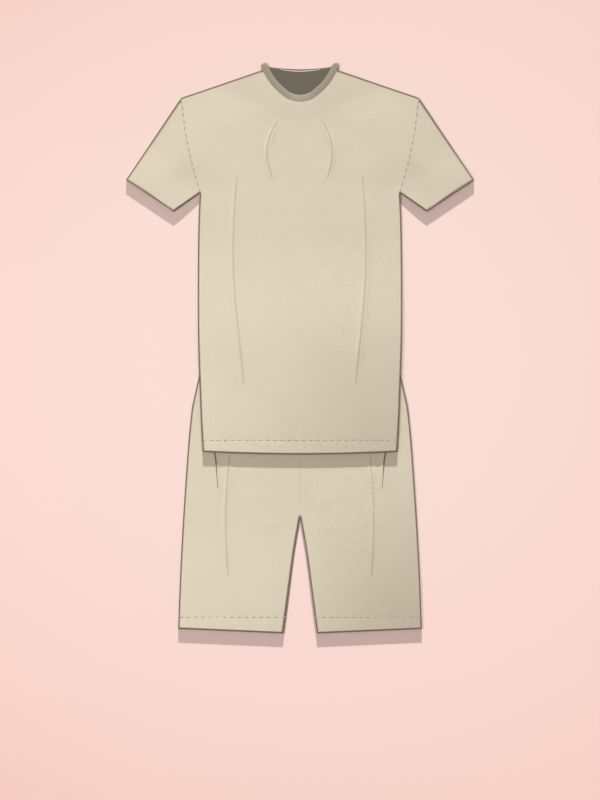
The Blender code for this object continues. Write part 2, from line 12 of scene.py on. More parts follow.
import bpy
import numpy as np
from mathutils import Vector
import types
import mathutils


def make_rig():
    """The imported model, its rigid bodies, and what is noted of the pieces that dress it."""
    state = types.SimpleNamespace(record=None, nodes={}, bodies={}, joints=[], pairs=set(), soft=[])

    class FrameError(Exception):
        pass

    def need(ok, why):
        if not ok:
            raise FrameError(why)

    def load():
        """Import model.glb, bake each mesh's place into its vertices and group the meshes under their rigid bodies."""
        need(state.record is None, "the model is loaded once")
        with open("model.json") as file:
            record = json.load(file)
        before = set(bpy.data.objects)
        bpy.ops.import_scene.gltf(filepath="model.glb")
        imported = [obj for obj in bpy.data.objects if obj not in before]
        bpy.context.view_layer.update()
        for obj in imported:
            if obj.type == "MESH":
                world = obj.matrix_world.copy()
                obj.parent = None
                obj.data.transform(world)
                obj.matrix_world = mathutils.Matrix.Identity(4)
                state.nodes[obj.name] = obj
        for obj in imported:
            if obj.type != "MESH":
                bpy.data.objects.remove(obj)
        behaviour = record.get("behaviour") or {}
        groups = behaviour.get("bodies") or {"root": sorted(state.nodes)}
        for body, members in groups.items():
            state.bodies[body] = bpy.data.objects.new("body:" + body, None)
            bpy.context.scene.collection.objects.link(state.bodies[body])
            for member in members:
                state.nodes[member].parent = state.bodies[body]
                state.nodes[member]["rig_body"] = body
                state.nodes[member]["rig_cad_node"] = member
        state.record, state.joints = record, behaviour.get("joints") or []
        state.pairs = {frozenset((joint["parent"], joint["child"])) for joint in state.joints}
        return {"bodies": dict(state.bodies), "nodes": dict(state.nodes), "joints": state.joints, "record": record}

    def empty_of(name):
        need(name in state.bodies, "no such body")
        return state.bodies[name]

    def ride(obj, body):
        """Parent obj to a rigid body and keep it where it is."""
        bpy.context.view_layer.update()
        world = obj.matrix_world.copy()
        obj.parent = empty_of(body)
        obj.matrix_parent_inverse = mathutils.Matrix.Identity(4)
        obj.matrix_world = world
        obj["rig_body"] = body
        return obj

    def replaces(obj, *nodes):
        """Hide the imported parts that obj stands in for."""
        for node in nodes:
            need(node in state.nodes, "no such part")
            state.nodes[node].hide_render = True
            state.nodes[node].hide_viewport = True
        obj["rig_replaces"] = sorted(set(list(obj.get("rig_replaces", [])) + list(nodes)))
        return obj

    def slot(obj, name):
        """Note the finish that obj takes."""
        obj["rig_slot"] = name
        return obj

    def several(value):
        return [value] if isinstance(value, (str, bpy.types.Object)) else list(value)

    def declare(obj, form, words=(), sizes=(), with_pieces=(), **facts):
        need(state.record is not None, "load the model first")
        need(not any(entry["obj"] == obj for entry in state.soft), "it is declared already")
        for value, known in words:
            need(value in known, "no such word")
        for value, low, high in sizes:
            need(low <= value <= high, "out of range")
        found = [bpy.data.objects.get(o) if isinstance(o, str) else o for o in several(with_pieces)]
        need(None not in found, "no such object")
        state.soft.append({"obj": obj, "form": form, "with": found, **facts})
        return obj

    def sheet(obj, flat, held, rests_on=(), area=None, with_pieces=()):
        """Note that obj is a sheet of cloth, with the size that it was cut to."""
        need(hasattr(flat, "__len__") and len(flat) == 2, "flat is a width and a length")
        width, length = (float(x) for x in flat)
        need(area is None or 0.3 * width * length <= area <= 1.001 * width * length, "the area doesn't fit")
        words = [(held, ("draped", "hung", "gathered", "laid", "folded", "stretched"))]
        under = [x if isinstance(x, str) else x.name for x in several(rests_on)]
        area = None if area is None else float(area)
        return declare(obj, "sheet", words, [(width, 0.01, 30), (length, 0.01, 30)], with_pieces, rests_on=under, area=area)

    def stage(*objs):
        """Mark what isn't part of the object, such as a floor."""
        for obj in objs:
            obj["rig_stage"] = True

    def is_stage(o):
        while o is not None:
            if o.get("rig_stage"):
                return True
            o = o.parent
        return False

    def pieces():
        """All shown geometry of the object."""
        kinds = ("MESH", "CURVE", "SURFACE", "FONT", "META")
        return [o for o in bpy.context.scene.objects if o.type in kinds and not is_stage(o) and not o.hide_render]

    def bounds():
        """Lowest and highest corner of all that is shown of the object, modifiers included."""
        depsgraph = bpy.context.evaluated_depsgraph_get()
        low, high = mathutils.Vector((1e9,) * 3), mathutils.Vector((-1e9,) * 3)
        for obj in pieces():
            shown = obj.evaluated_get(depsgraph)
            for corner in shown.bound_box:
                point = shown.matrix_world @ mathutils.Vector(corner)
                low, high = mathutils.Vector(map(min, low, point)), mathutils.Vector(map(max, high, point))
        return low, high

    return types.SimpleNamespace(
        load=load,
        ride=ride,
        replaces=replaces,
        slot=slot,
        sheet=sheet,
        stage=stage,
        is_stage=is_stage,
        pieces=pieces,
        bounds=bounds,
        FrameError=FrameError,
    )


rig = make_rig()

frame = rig.load()
CAD_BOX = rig.bounds()

Edge = namedtuple("Edge", "y half_width")
Fold = namedtuple("Fold", "crest height half_width ease groove")
Crease = namedtuple("Crease", "start end bow height width")
Fade = namedtuple("Fade", "corner reach tint")
Cut = namedtuple("Cut", "width length area rests_on carries", defaults=(("floor",), ()))
Finish = namedtuple("Finish", "colour pitch slub mottle bump")
Loops = namedtuple("Loops", "place across half z up")

# Walls and the spaces between them, as in the CAD model
CLOTH = 0.0012
GAP = 0.0003
RIB = 0.0016
FACING = 0.0010
WELT = 0.0010
HEM_TURN = 0.0008
TOP_LOFT = 0.0010
SHORTS_LOFT = 0.0004

# Distance from the sewn edges over which the loft grows, longer here than in the solids
LOFT_EASE = 0.100

# Outline of the top, as half widths
SHOULDER = (0.2678, 0.5619)
NECK_CORNER = (0.0821, 0.6249)
CUFF_UPPER = (0.3915, 0.3774)
CUFF_UNDER = (0.2846, 0.3060)
UNDERARM = (0.2250, 0.3476)
TOP_SIDE = (
    Edge(-0.2340, 0.2183),
    Edge(-0.1620, 0.2226),
    Edge(-0.0900, 0.2254),
    Edge(0.0170, 0.2292),
    Edge(0.1250, 0.2300),
    Edge(0.2330, 0.2294),
    Edge(0.3050, 0.2276),
    Edge(0.3476, 0.2250),
)
ARMHOLE = (
    Edge(0.3476, 0.2250),
    Edge(0.3707, 0.2306),
    Edge(0.4157, 0.2432),
    Edge(0.4773, 0.2561),
    Edge(0.5417, 0.2650),
    Edge(0.5619, 0.2678),
)
TOP_HEM_MIDDLE = -0.2399
TOP_HEM_STITCH = -0.2076
YOKE_START = 0.5150
NECK_SHARE = 0.36
YOKE_ROWS = 22

# Neck: centre lines of the band's arcs, from the middle to the ear
BAND_WIDTH = 0.0148
EAR_REACH = 0.0056
BAND_FRONT = (
    (0.0, 0.5608),
    (0.0235, 0.5662),
    (0.0400, 0.5778),
    (0.0570, 0.5945),
    (0.0705, 0.6140),
    (0.0803, 0.6334),
)
BAND_BACK = (
    (0.0, 0.6190),
    (0.0250, 0.6199),
    (0.0450, 0.6213),
    (0.0600, 0.6228),
    (0.0705, 0.6252),
    (0.0803, 0.6334),
)
BACK_LINE = 0.0040
BACK_LINE_ENDS = 0.0020
TAPE_DEPTH = 0.0021
FACING_HALF = 0.0690
TAPE_HALF = 0.0475
TAPE_SPAN = 0.0465
NECK_RISE_REACH = 0.120
ARC_STEPS = 80

# Section, ribs and steps of the neckband, and how far its back and its ears are darkened with painted shade
RIB_PITCH = 0.0030
RIB_DEPTH = 0.00022
RIB_SECTION = 14
RIB_SIDE_POWER = 0.20
RIB_FACE_POWER = 0.45
RIB_CROWN = 0.06
FRONT_STEPS = 170
BACK_STEPS = 130
EAR_STEPS = 9
EAR_LEAST = 0.04
EAR_SHADE = 0.42
EAR_TINT_TILT = 0.3
BACK_SHADE_HALF = 0.068

# Steps of the facing and its tape, and the turn of the facing's grain
FACING_ROWS = 14
FACING_WING_STEPS = 11
FACING_GRAIN = 0.6
TAPE_STEPS = 49
TAPE_ROWS = (0.0, 0.1, 0.5, 0.9, 1.0)

# Outline of the shorts, as half widths
SHORTS_SIDE = (
    Edge(-0.6320, 0.2742),
    Edge(-0.5226, 0.2702),
    Edge(-0.4146, 0.2648),
    Edge(-0.3066, 0.2580),
    Edge(-0.1986, 0.2500),
    Edge(-0.1500, 0.2450),
    Edge(-0.1344, 0.2432),
    Edge(-0.1180, 0.2397),
    Edge(-0.0580, 0.2262),
)
CROTCH_Y = -0.3798
INSEAM = (
    Edge(-0.6422, 0.0383),
    Edge(-0.5226, 0.0225),
    Edge(-0.4506, 0.0126),
    Edge(-0.3798, 0.0),
)
SHORTS_HEM_SIDE = -0.6320
SHORTS_HEM_INNER = -0.6422
SHORTS_HEM_STITCH = -0.6058
WAIST_SEAM = -0.0580
WAIST_TOP = -0.0240
WAIST_HALF = 0.2120
WAIST_WALL = 0.0014
WAIST_STEPS = 6

# Pocket: free edge of the welt, its width from there towards the middle, and its mouth darkened with a painted shadow
POCKET_EDGE = (
    Edge(-0.3147, 0.1856),
    Edge(-0.2840, 0.1881),
    Edge(-0.2548, 0.1906),
    Edge(-0.2346, 0.1940),
    Edge(-0.2000, 0.2005),
    Edge(-0.1650, 0.2085),
)
WELT_WIDTH = 0.0090
WELT_TAPER = 0.090
WELT_THIN = 0.08
WELT_ROWS = 34
WELT_COLUMNS = 5
WELT_RIM = 0.9
MOUTH_LEAST = 0.25
MOUTH_CORE = 0.4

# Drawn folds: the crest as places up the set and distances from the middle
CHEST_FOLD = Fold(
    crest=(
        Edge(0.3762, 0.0611),
        Edge(0.4112, 0.0709),
        Edge(0.4359, 0.0734),
        Edge(0.4539, 0.0718),
        Edge(0.4832, 0.0632),
        Edge(0.5088, 0.0506),
    ),
    height=0.0009,
    half_width=0.011,
    ease=0.040,
    groove=0.0006,
)
SIDE_FOLD = Fold(
    crest=(
        Edge(-0.0820, 0.1257),
        Edge(0.0692, 0.1420),
        Edge(0.1412, 0.1474),
        Edge(0.2109, 0.1492),
        Edge(0.2739, 0.1480),
        Edge(0.3257, 0.1453),
        Edge(0.3865, 0.1408),
    ),
    height=0.0012,
    half_width=0.013,
    ease=0.090,
    groove=0.0008,
)
LEG_FOLD = Fold(
    crest=(
        Edge(-0.5160, 0.1607),
        Edge(-0.4776, 0.1638),
        Edge(-0.4100, 0.1663),
        Edge(-0.3538, 0.1656),
        Edge(-0.3110, 0.1631),
        Edge(-0.2340, 0.1580),
    ),
    height=0.0008,
    half_width=0.012,
    ease=0.060,
    groove=0.0006,
)
GROOVE_CORE = 0.0009
GROOVE_HALF = 0.0031
GROOVE_EASE = 0.006
# Strength of the painted shade in the narrow grooves of the folds
GROOVE_SHADE = 0.24
GROOVE_LEAST = 0.25
GROOVE_PER_HEIGHT = 0.7
FOLD_NEAR = (0.0005, 0.0014, 0.0022, 0.0031, 0.0046, 0.0065, 0.0090)
FOLD_BESIDE = (*(-near for near in FOLD_NEAR[::-1]), *FOLD_NEAR)

# Heights that the top takes where it lies on the shorts
SHORTS_LEVEL = 2 * CLOTH + GAP + SHORTS_LOFT
STEP_FOOT = 0.250
STEP_HEAD = -0.020
BUMP_FLAT = 0.010
BUMP_REACH = 0.100

# Small creases of the top: start, end, bow sideways, height, half width
TOP_CREASES = (
    Crease((-0.205, 0.350), (-0.120, 0.405), 0.006, 0.00019, 0.012),
    Crease((-0.212, 0.330), (-0.165, 0.290), -0.005, 0.00018, 0.011),
    Crease((0.208, 0.352), (0.128, 0.418), -0.007, 0.00021, 0.013),
    Crease((0.212, 0.322), (0.172, 0.268), 0.005, 0.00016, 0.010),
    Crease((-0.238, 0.540), (-0.130, 0.470), 0.008, 0.00016, 0.016),
    Crease((0.236, 0.536), (0.120, 0.480), -0.009, 0.00018, 0.015),
    Crease((-0.095, 0.600), (-0.125, 0.500), 0.006, 0.00014, 0.013),
    Crease((0.097, 0.598), (0.132, 0.512), -0.005, 0.00014, 0.013),
    Crease((-0.060, 0.300), (0.030, 0.255), 0.010, 0.00012, 0.020),
    Crease((-0.010, 0.160), (0.085, 0.120), -0.008, 0.00012, 0.018),
    Crease((-0.095, 0.090), (-0.020, 0.040), 0.007, 0.00010, 0.017),
    Crease((-0.200, 0.130), (-0.168, 0.020), 0.006, 0.00014, 0.012),
    Crease((0.198, 0.150), (0.170, 0.030), -0.006, 0.00014, 0.012),
    Crease((-0.180, -0.060), (-0.060, -0.105), 0.010, 0.00014, 0.015),
    Crease((0.190, -0.050), (0.080, -0.110), -0.011, 0.00016, 0.015),
    Crease((-0.050, -0.170), (0.060, -0.150), 0.006, 0.00010, 0.014),
)
SLEEVE_CREASES = (
    Crease((0.250, 0.365), (0.300, 0.430), 0.006, 0.00019, 0.011),
    Crease((0.262, 0.395), (0.268, 0.480), -0.006, 0.00014, 0.012),
    Crease((0.300, 0.335), (0.345, 0.385), 0.005, 0.00014, 0.010),
)
LEG_CREASES = (
    Crease((0.020, -0.372), (0.105, -0.325), 0.008, 0.00019, 0.012),
    Crease((0.024, -0.392), (0.115, -0.395), -0.007, 0.00016, 0.013),
    Crease((0.050, -0.450), (0.110, -0.570), 0.010, 0.00014, 0.014),
    Crease((0.245, -0.300), (0.200, -0.400), 0.006, 0.00016, 0.012),
    Crease((0.225, -0.430), (0.210, -0.570), -0.008, 0.00014, 0.014),
    Crease((0.075, -0.270), (0.130, -0.305), 0.004, 0.00010, 0.014),
)
CREASE_STEPS = 10
CREASE_FADE = 2.5
LEG_CREASE_TOP = -0.235
LEG_CREASE_EASE = 0.030

# Edges, hems and stitches
EDGE_ROUND = 0.0004
EDGE_LEAST = 0.04
SEAM_ROUND = 0.0002
SEAM_GAP = 0.0001
# Band along each edge that is darkened with painted shade
EDGE_TINT = (0.0026, 0.0046)
HEM_RAMP = 0.220
CUFF_RAMP = 0.100
PUCKER = 0.00012
PUCKER_WIDTH = 0.005
STITCH_PERIOD = 0.0155
STITCH_LENGTH = 0.0112
STITCH_WIDTH = 0.0030
STITCH_THICKNESS = 0.0003
STITCH_SEGMENTS = 8
STITCH_RINGS = 6
STITCH_END = 0.006
STITCH_END_INNER = 0.004
ARMHOLE_INSET = -0.0001
RIM_INSETS = (0.0, 0.0002, 0.0005, 0.0026, 0.0036, 0.0046)
FAR_RIM = tuple(-inset for inset in RIM_INSETS[::-1])

# Points of the outlines that distances are measured to
HEM_POINTS = 9
TOP_SIDE_POINTS = 24
SHORTS_SIDE_POINTS = 16
INSEAM_POINTS = 10
NECK_STEPS = 24

# Fineness of the shells and of the stitches' lines, and the angle of a sharp edge
FINE = 0.0055
COARSE = 0.0110
TOP_STRETCHES = (CHEST_FOLD.crest[0].half_width, 0.08, 0.08)
LEG_STRETCHES = (0.13, 0.09)
LEG_GRID_PASSES = 3
TOP_HEM_STEPS = 80
ARMHOLE_STEPS = 50
LEG_HEM_STEPS = 60
SHARP_ANGLE = math.radians(48)

# Painted shade: slow darkening towards one lower corner of each front
TOP_CORNER_SHADE = Fade(corner=(0.218, -0.232), reach=0.42, tint=0.25)
SHORTS_CORNER_SHADE = Fade(corner=(0.273, -0.631), reach=0.40, tint=0.34)

# Flat cut of each piece as it shows, all round on a tube, with what it lies on and carries
CUTS = {
    "top_back": Cut(0.536, 0.865, 0.393, ("waistband", "shorts_front_left", "shorts_front_right")),
    "top_front": Cut(0.536, 0.865, 0.387, ("top_back",), ("hem_stitches_top", "armhole_stitches")),
    "sleeve_left": Cut(0.433, 0.221, 0.0421),
    "sleeve_right": Cut(0.433, 0.221, 0.0421),
    "neckband": Cut(0.429, 0.0148, 0.0063, ("top_back",)),
    "neck_facing": Cut(0.138, 0.062, 0.0064, ("neckband",), ("neck_tape",)),
    "waistband": Cut(0.905, 0.034, 0.0300),
    "shorts_back_left": Cut(0.274, 0.584, 0.1447),
    "shorts_back_right": Cut(0.274, 0.584, 0.1447),
    "shorts_front_left": Cut(
        0.274, 0.584, 0.1447, ("shorts_back_left",), ("pocket_welt_left", "hem_stitches_left")
    ),
    "shorts_front_right": Cut(
        0.274, 0.584, 0.1447, ("shorts_back_right",), ("pocket_welt_right", "hem_stitches_right")
    ),
}

# Cloth finishes: colour, pitch of the yarns, how much slubs and mottle change it, relief
BODY_FINISH = Finish((0.565, 0.489, 0.374), 0.0009, 0.10, 0.05, 0.00004)
RIB_FINISH = Finish((0.334, 0.287, 0.217), 0.0008, 0.08, 0.04, 0.0001)
# The facing's dark colour is painted shade of the inside of the back, seen through the neck
SHADED_FACING_FINISH = Finish((0.124, 0.106, 0.077), 0.0007, 0.08, 0.04, 0.0001)
THREAD_FINISH = Finish((0.345, 0.300, 0.220), 0.0005, 0.05, 0.03, 0.00005)

# Colour of the painted shade at edges, fold grooves, corners, pocket mouths and the back of the neckband, then the
# weave and sheen of all the cloth
PAINTED_SHADE = (0.150, 0.117, 0.087)
WEFT_SLUBS = (28.0, 900.0, 1.0)
WARP_SLUBS = (900.0, 34.0, 1.0)
SLOW_MOTTLE = (9.0, 7.0, 1.0)
SLUB_RELIEF = 1.6
ROUGHNESS = 0.88
ROUGHNESS_CHANGE = 0.12
SHEEN = 0.1
SHEEN_ROUGHNESS = 0.5
GLOSS = 0.25

# Camera and light
CAMERA_HEIGHT = 4.25
CAMERA_Y = -0.1176
CAMERA_LENS = 85.0
CAMERA_SENSOR = 36.0
CAMERA_REACH = 20.0
SUN_ELEVATION = math.radians(8.2)
SUN_DISTANCE = 3.0
SUN_SOFTNESS = math.radians(0.9)
SUN_STRENGTH = 11.6
SUN_COLOUR = (0.97, 0.99, 1.0)
WINDOW_PLACE = (-2.2, -0.1, 2.6)
WINDOW_AIM = (-0.1, -0.1, 0.0)
WINDOW_POWER = 56.0
WINDOW_SIZE = 1.6
SKY_COLOUR = (1.0, 0.985, 0.955, 1.0)
SKY_STRENGTH = 0.400

# Floor
FLOOR_COLOUR = (0.7635, 0.5804, 0.5377)
FLOOR_TILT = 0.128
FLOOR_FALL = (-0.0066, -0.0512, -0.0576)
FLOOR_TONE_END = 1.25
FLOOR_HALF = 16.0
FLOOR_LEVEL = -0.0004
FLOOR_ROUGHNESS = 0.95
FLOOR_GLOSS = 0.1


def smooth(share):
    """Shares from 0 to 1 with level ends."""
    share = np.clip(share, 0.0, 1.0)
    return share * share * (3 - 2 * share)


def mix(a, b, share):
    return a + (b - a) * share


def along(rows, y):
    """The half width at y, read from a smooth curve through a table's rows."""
    ys = np.array([row.y for row in rows])
    widths = np.array([row.half_width for row in rows])
    inner = (widths[2:] - widths[:-2]) / (ys[2:] - ys[:-2])
    first = (widths[1] - widths[0]) / (ys[1] - ys[0])
    last = (widths[-1] - widths[-2]) / (ys[-1] - ys[-2])
    slopes = np.concatenate(([first], inner, [last]))
    y = np.clip(y, ys[0], ys[-1])
    at = np.clip(np.searchsorted(ys, y, side="right") - 1, 0, len(ys) - 2)
    length = ys[at + 1] - ys[at]
    t = (y - ys[at]) / length
    return (
        (1 + 2 * t) * (1 - t) ** 2 * widths[at]
        + t * (1 - t) ** 2 * length * slopes[at]
        + t * t * (3 - 2 * t) * widths[at + 1]
        + t * t * (t - 1) * length * slopes[at + 1]
    )


def arc_points(spots, count):
    """Points on a smooth line through spots, mirrored about x = 0 at its start."""
    line = [(-spots[1][0], spots[1][1]), *spots]
    line = np.array(line + [(2 * line[-1][0] - line[-2][0], 2 * line[-1][1] - line[-2][1])])
    place = np.linspace(0, len(spots) - 1, count + 1)
    at = np.minimum(place.astype(int), len(spots) - 2)
    t = (place - at)[:, None]
    a, b, c, d = (line[at + k] for k in range(4))
    return (
        2 * b
        + (c - a) * t
        + (2 * a - 5 * b + 4 * c - d) * t**2
        + (3 * b - a - 3 * c + d) * t**3
    ) / 2


def to_line(x, y, line):
    """Distance to a line of straight runs, and the share along it of the nearest place."""
    line = np.asarray(line, dtype=float)
    nearest = np.full(np.shape(x), np.inf)
    share_at = np.zeros(np.shape(x))
    runs = len(line) - 1
    for k in range(runs):
        run = line[k + 1] - line[k]
        share = ((x - line[k, 0]) * run[0] + (y - line[k, 1]) * run[1]) / run.dot(run)
        share = np.clip(share, 0.0, 1.0)
        off = np.hypot(x - line[k, 0] - share * run[0], y - line[k, 1] - share * run[1])
        closer = off < nearest
        nearest = np.where(closer, off, nearest)
        share_at = np.where(closer, (k + share) / runs, share_at)
    return nearest, share_at


def top_hem(x):
    corner = TOP_SIDE[0]
    return mix(TOP_HEM_MIDDLE, corner.y, (x / corner.half_width) ** 2)


def shorts_hem(x):
    inner, outer = INSEAM[0].half_width, SHORTS_SIDE[0].half_width
    return mix(SHORTS_HEM_INNER, SHORTS_HEM_SIDE, (np.abs(x) - inner) / (outer - inner))


def curve_rows(rows, count, rising=True):
    """Points (x, y) on the curve through a table's rows."""
    ys = np.linspace(rows[0].y, rows[-1].y, count)
    points = np.stack((along(rows, ys), ys), axis=1)
    return points if rising else points[::-1]


HEM_XS = np.linspace(TOP_SIDE[0].half_width, 0.0, HEM_POINTS)
TOP_HEM_LINE = np.stack((HEM_XS, top_hem(HEM_XS)), axis=1)
TOP_UPPER_LINE = (NECK_CORNER, SHOULDER, CUFF_UPPER)
TOP_LOWER_LINE = np.concatenate(([CUFF_UNDER], curve_rows(TOP_SIDE, TOP_SIDE_POINTS, rising=False)))
CUFF_LINE = (CUFF_UPPER, CUFF_UNDER)
SIDE_LINE = curve_rows(SHORTS_SIDE, SHORTS_SIDE_POINTS)
INSEAM_LINE = curve_rows(INSEAM, INSEAM_POINTS)
LEG_HEM_LINE = (INSEAM_LINE[0], SIDE_LINE[0])
NECK_LINE = arc_points(BAND_FRONT, NECK_STEPS)
FAR_LINE = ((1.0, 1.0), (1.0, 1.1))
CAD_NAMES = tuple(frame["nodes"])
SIDES = (("left", 1), ("right", -1))
PIECES = {}


def from_lines(x, y, lines):
    """Distance to the nearest of several lines, on the half with positive x."""
    return np.minimum.reduce([to_line(np.abs(x), y, line)[0] for line in lines])


def loft(x, y, lines):
    """Share of the full loft: none along the sewn edges, all of it further in."""
    return smooth(from_lines(x, y, lines) / LOFT_EASE)


def fold_parts(fold, x, y):
    """Height of a drawn fold with the narrow groove along its crest, and the groove's share."""
    low, high = fold.crest[0].y, fold.crest[-1].y
    ends = smooth((y - low) / fold.ease) * smooth((high - y) / fold.ease)
    off = np.abs(np.abs(x) - along(fold.crest, y))
    ridge = fold.height * ends * (1 - smooth(off / fold.half_width))
    short = smooth((y - low) / GROOVE_EASE) * smooth((high - y) / GROOVE_EASE)
    groove = short * (1 - smooth((off - GROOVE_CORE) / (GROOVE_HALF - GROOVE_CORE)))
    depth = np.minimum(fold.groove, GROOVE_LEAST * fold.groove + GROOVE_PER_HEIGHT * ridge)
    return ridge - depth * groove, groove


def crease_rise(x, y, creases):
    """Height of the small creases, each a soft ridge that fades at its ends."""
    rise = np.zeros(np.shape(x))
    for crease in creases:
        start, end = np.array(crease.start), np.array(crease.end)
        run = end - start
        across = np.array((-run[1], run[0])) / np.hypot(*run)
        t = np.linspace(0.0, 1.0, CREASE_STEPS)[:, None]
        line = start + run * t + across * crease.bow * 4 * t * (1 - t)
        off, share = to_line(x, y, line)
        ends = smooth(CREASE_FADE * share) * smooth(CREASE_FADE * (1 - share))
        rise += crease.height * ends * np.exp(-((off / crease.width) ** 2))
    return rise


def neck_rise(x, y):
    """How far the front stands up to clear the facing and the back of the band."""
    full = RIB + FACING + GAP - CLOTH
    return full * (1 - smooth(to_line(np.abs(x), y, NECK_LINE)[0] / NECK_RISE_REACH))


def near_hem(y, stitch):
    """How close a place is to a hem that is turned under, from 0 to 1 at the stitching."""
    return 1 - smooth((y - stitch) / HEM_RAMP)


def pressed(x, y):
    """Share to which the top lies pressed flat: all of it at its hem and its cuffs."""
    cuff = 1 - smooth(to_line(np.abs(x), y, CUFF_LINE)[0] / CUFF_RAMP)
    return np.maximum(near_hem(y, TOP_HEM_STITCH), cuff)


def top_turn(x, y):
    """Extra thickness of the top's hem and cuffs, squeezed where they lie on the welts."""
    return np.maximum(HEM_TURN * pressed(x, y) - welt_bump(x, y) / 2, 0.0)


def pucker(x, y, stitch):
    """Small dimples that the stitching pulls into a hem."""
    near = np.exp(-(((y - stitch) / PUCKER_WIDTH) ** 2))
    return -PUCKER * near * (1 + np.cos(x * math.tau / STITCH_PERIOD))


def shorts_back_top(x, y):
    return CLOTH + HEM_TURN * near_hem(y, SHORTS_HEM_STITCH)


def shorts_front_low(x, y):
    free = smooth((LEG_CREASE_TOP - y) / LEG_CREASE_EASE)
    flat = near_hem(y, SHORTS_HEM_STITCH)
    rise = SHORTS_LOFT * loft(x, y, (SIDE_LINE, INSEAM_LINE)) * (1 - flat)
    rise = rise + fold_parts(LEG_FOLD, x, y)[0]
    rise = rise + free * crease_rise(np.abs(x), y, LEG_CREASES)
    return shorts_back_top(x, y) + GAP + np.maximum(rise, 0.0)


def shorts_front_top(x, y):
    dimples = pucker(x, y, SHORTS_HEM_STITCH)
    turn = HEM_TURN * near_hem(y, SHORTS_HEM_STITCH)
    return shorts_front_low(x, y) + CLOTH + turn + dimples


def welt_bump(x, y):
    """The top rises over the upper ends of the pocket welts."""
    middle = along(POCKET_EDGE, y) - WELT_WIDTH / 2
    off = np.abs(np.abs(x) - middle)
    past = np.maximum(y - POCKET_EDGE[-1].y, 0.0)
    away = np.maximum(np.hypot(off, past) - BUMP_FLAT, 0.0)
    return (WELT + GAP) * (1 - smooth(away / (BUMP_REACH - BUMP_FLAT)))


def top_back_low(x, y):
    on_shorts = 1 - smooth((y - STEP_HEAD) / (STEP_FOOT - STEP_HEAD))
    return (SHORTS_LEVEL + GAP) * on_shorts + welt_bump(x, y)


def top_back_top(x, y):
    return top_back_low(x, y) + CLOTH + top_turn(x, y)


def top_front_low(x, y):
    sewn = loft(x, y, (TOP_UPPER_LINE, TOP_LOWER_LINE))
    rise = TOP_LOFT + crease_rise(x, y, TOP_CREASES) + crease_rise(np.abs(x), y, SLEEVE_CREASES)
    rise = sewn * rise * (1 - pressed(x, y))
    rise = np.maximum(rise, neck_rise(x, y))
    for fold in (CHEST_FOLD, SIDE_FOLD):
        rise = rise + fold_parts(fold, x, y)[0]
    return top_back_top(x, y) + GAP + np.maximum(rise, 0.0)


def top_front_top(x, y):
    dimples = pucker(x, y, TOP_HEM_STITCH)
    return top_front_low(x, y) + CLOTH + top_turn(x, y) + dimples


def level(height):
    return lambda x, y: np.full(np.shape(x), height)


def rounding(off, radius):
    """Share of a wall's half thickness that is left at a distance from its edge."""
    inside = 1 - np.clip(off / radius, 0.0, 1.0)
    return np.sqrt(np.maximum(1 - inside * inside, EDGE_LEAST))


def from_ends(x, y):
    """Distance to the nearer end of its column of places, measured along the column."""
    steps = np.hypot(np.diff(x, axis=0), np.diff(y, axis=0))
    run = np.concatenate((np.zeros((1, x.shape[1])), np.cumsum(steps, axis=0)))
    return np.minimum(run, run[-1] - run)


def edge_shade(off):
    """How much painted shade darkens the cloth at a distance from an edge."""
    return 1 - smooth((off - EDGE_TINT[0]) / (EDGE_TINT[1] - EDGE_TINT[0]))


def front_shade(folds, corner_shade):
    """Painted shade in the grooves of folds and towards a front's darkest corner, as a function of place."""

    def shade(x, y):
        grooves = GROOVE_SHADE * sum(fold_parts(fold, x, y)[1] for fold in folds)
        away = np.hypot(x - corner_shade.corner[0], y - corner_shade.corner[1])
        return np.minimum(grooves + corner_shade.tint * (1 - smooth(away / corner_shade.reach)), 1.0)

    return shade


def spaced(beside, stretches, spacing):
    """Columns as shares of anchor lines and offsets from them, close together beside each."""
    anchors = np.eye(len(beside))
    shares, offsets = [], []
    for k, near in enumerate(beside):
        for offset in near:
            shares.append(anchors[k])
            offsets.append(offset)
        if k < len(stretches):
            for share in np.linspace(0.0, 1.0, int(stretches[k] / spacing) + 1)[1:-1]:
                shares.append(mix(anchors[k], anchors[k + 1], share))
                offsets.append(mix(near[-1], beside[k + 1][0], share))
    return np.array(shares), np.array(offsets)


def rimmed(count, near=True, far=True):
    """Column places: even between, closely spaced at the edges. Gives share and inset."""
    columns = []
    if near:
        columns += [(0.0, inset) for inset in RIM_INSETS[:-1]]
    for share in np.linspace(0.0, 1.0, count):
        inset = 0.0
        if near:
            inset += RIM_INSETS[-1] * (1 - share)
        if far:
            inset -= RIM_INSETS[-1] * share
        columns.append((share, inset))
    if far:
        columns += [(1.0, -inset) for inset in RIM_INSETS[-2::-1]]
    return np.array(columns)


def put(name, data):
    """A new object in the scene."""
    made = bpy.data.objects.new(name, data)
    bpy.context.scene.collection.objects.link(made)
    return made


def riding(name, data, slot):
    """The named object of a mesh, which rides on the set and fills a slot of its materials."""
    piece = put(name, data)
    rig.ride(piece, "root")
    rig.slot(piece, slot)
    if name in CAD_NAMES:
        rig.replaces(piece, name)
    PIECES[name] = piece


def new_piece(name, points, faces, cloth_uv, tint, material, slot):
    """The named object of a closed shell, with its cloth coordinates and edge tint."""
    data = bpy.data.meshes.new(name)
    data.from_pydata(points.tolist(), [], faces.tolist())
    data.materials.append(material)
    data.shade_smooth()
    data.set_sharp_from_angle(angle=SHARP_ANGLE)
    loops = np.empty(len(data.loops), dtype=np.int32)
    data.loops.foreach_get("vertex_index", loops)
    layer = data.uv_layers.new(name="cloth")
    layer.data.foreach_set("uv", cloth_uv[loops].astype(np.float32).ravel())
    shade = data.attributes.new("tint", "FLOAT", "POINT")
    shade.data.foreach_set("value", tint.astype(np.float32))
    riding(name, data, slot)


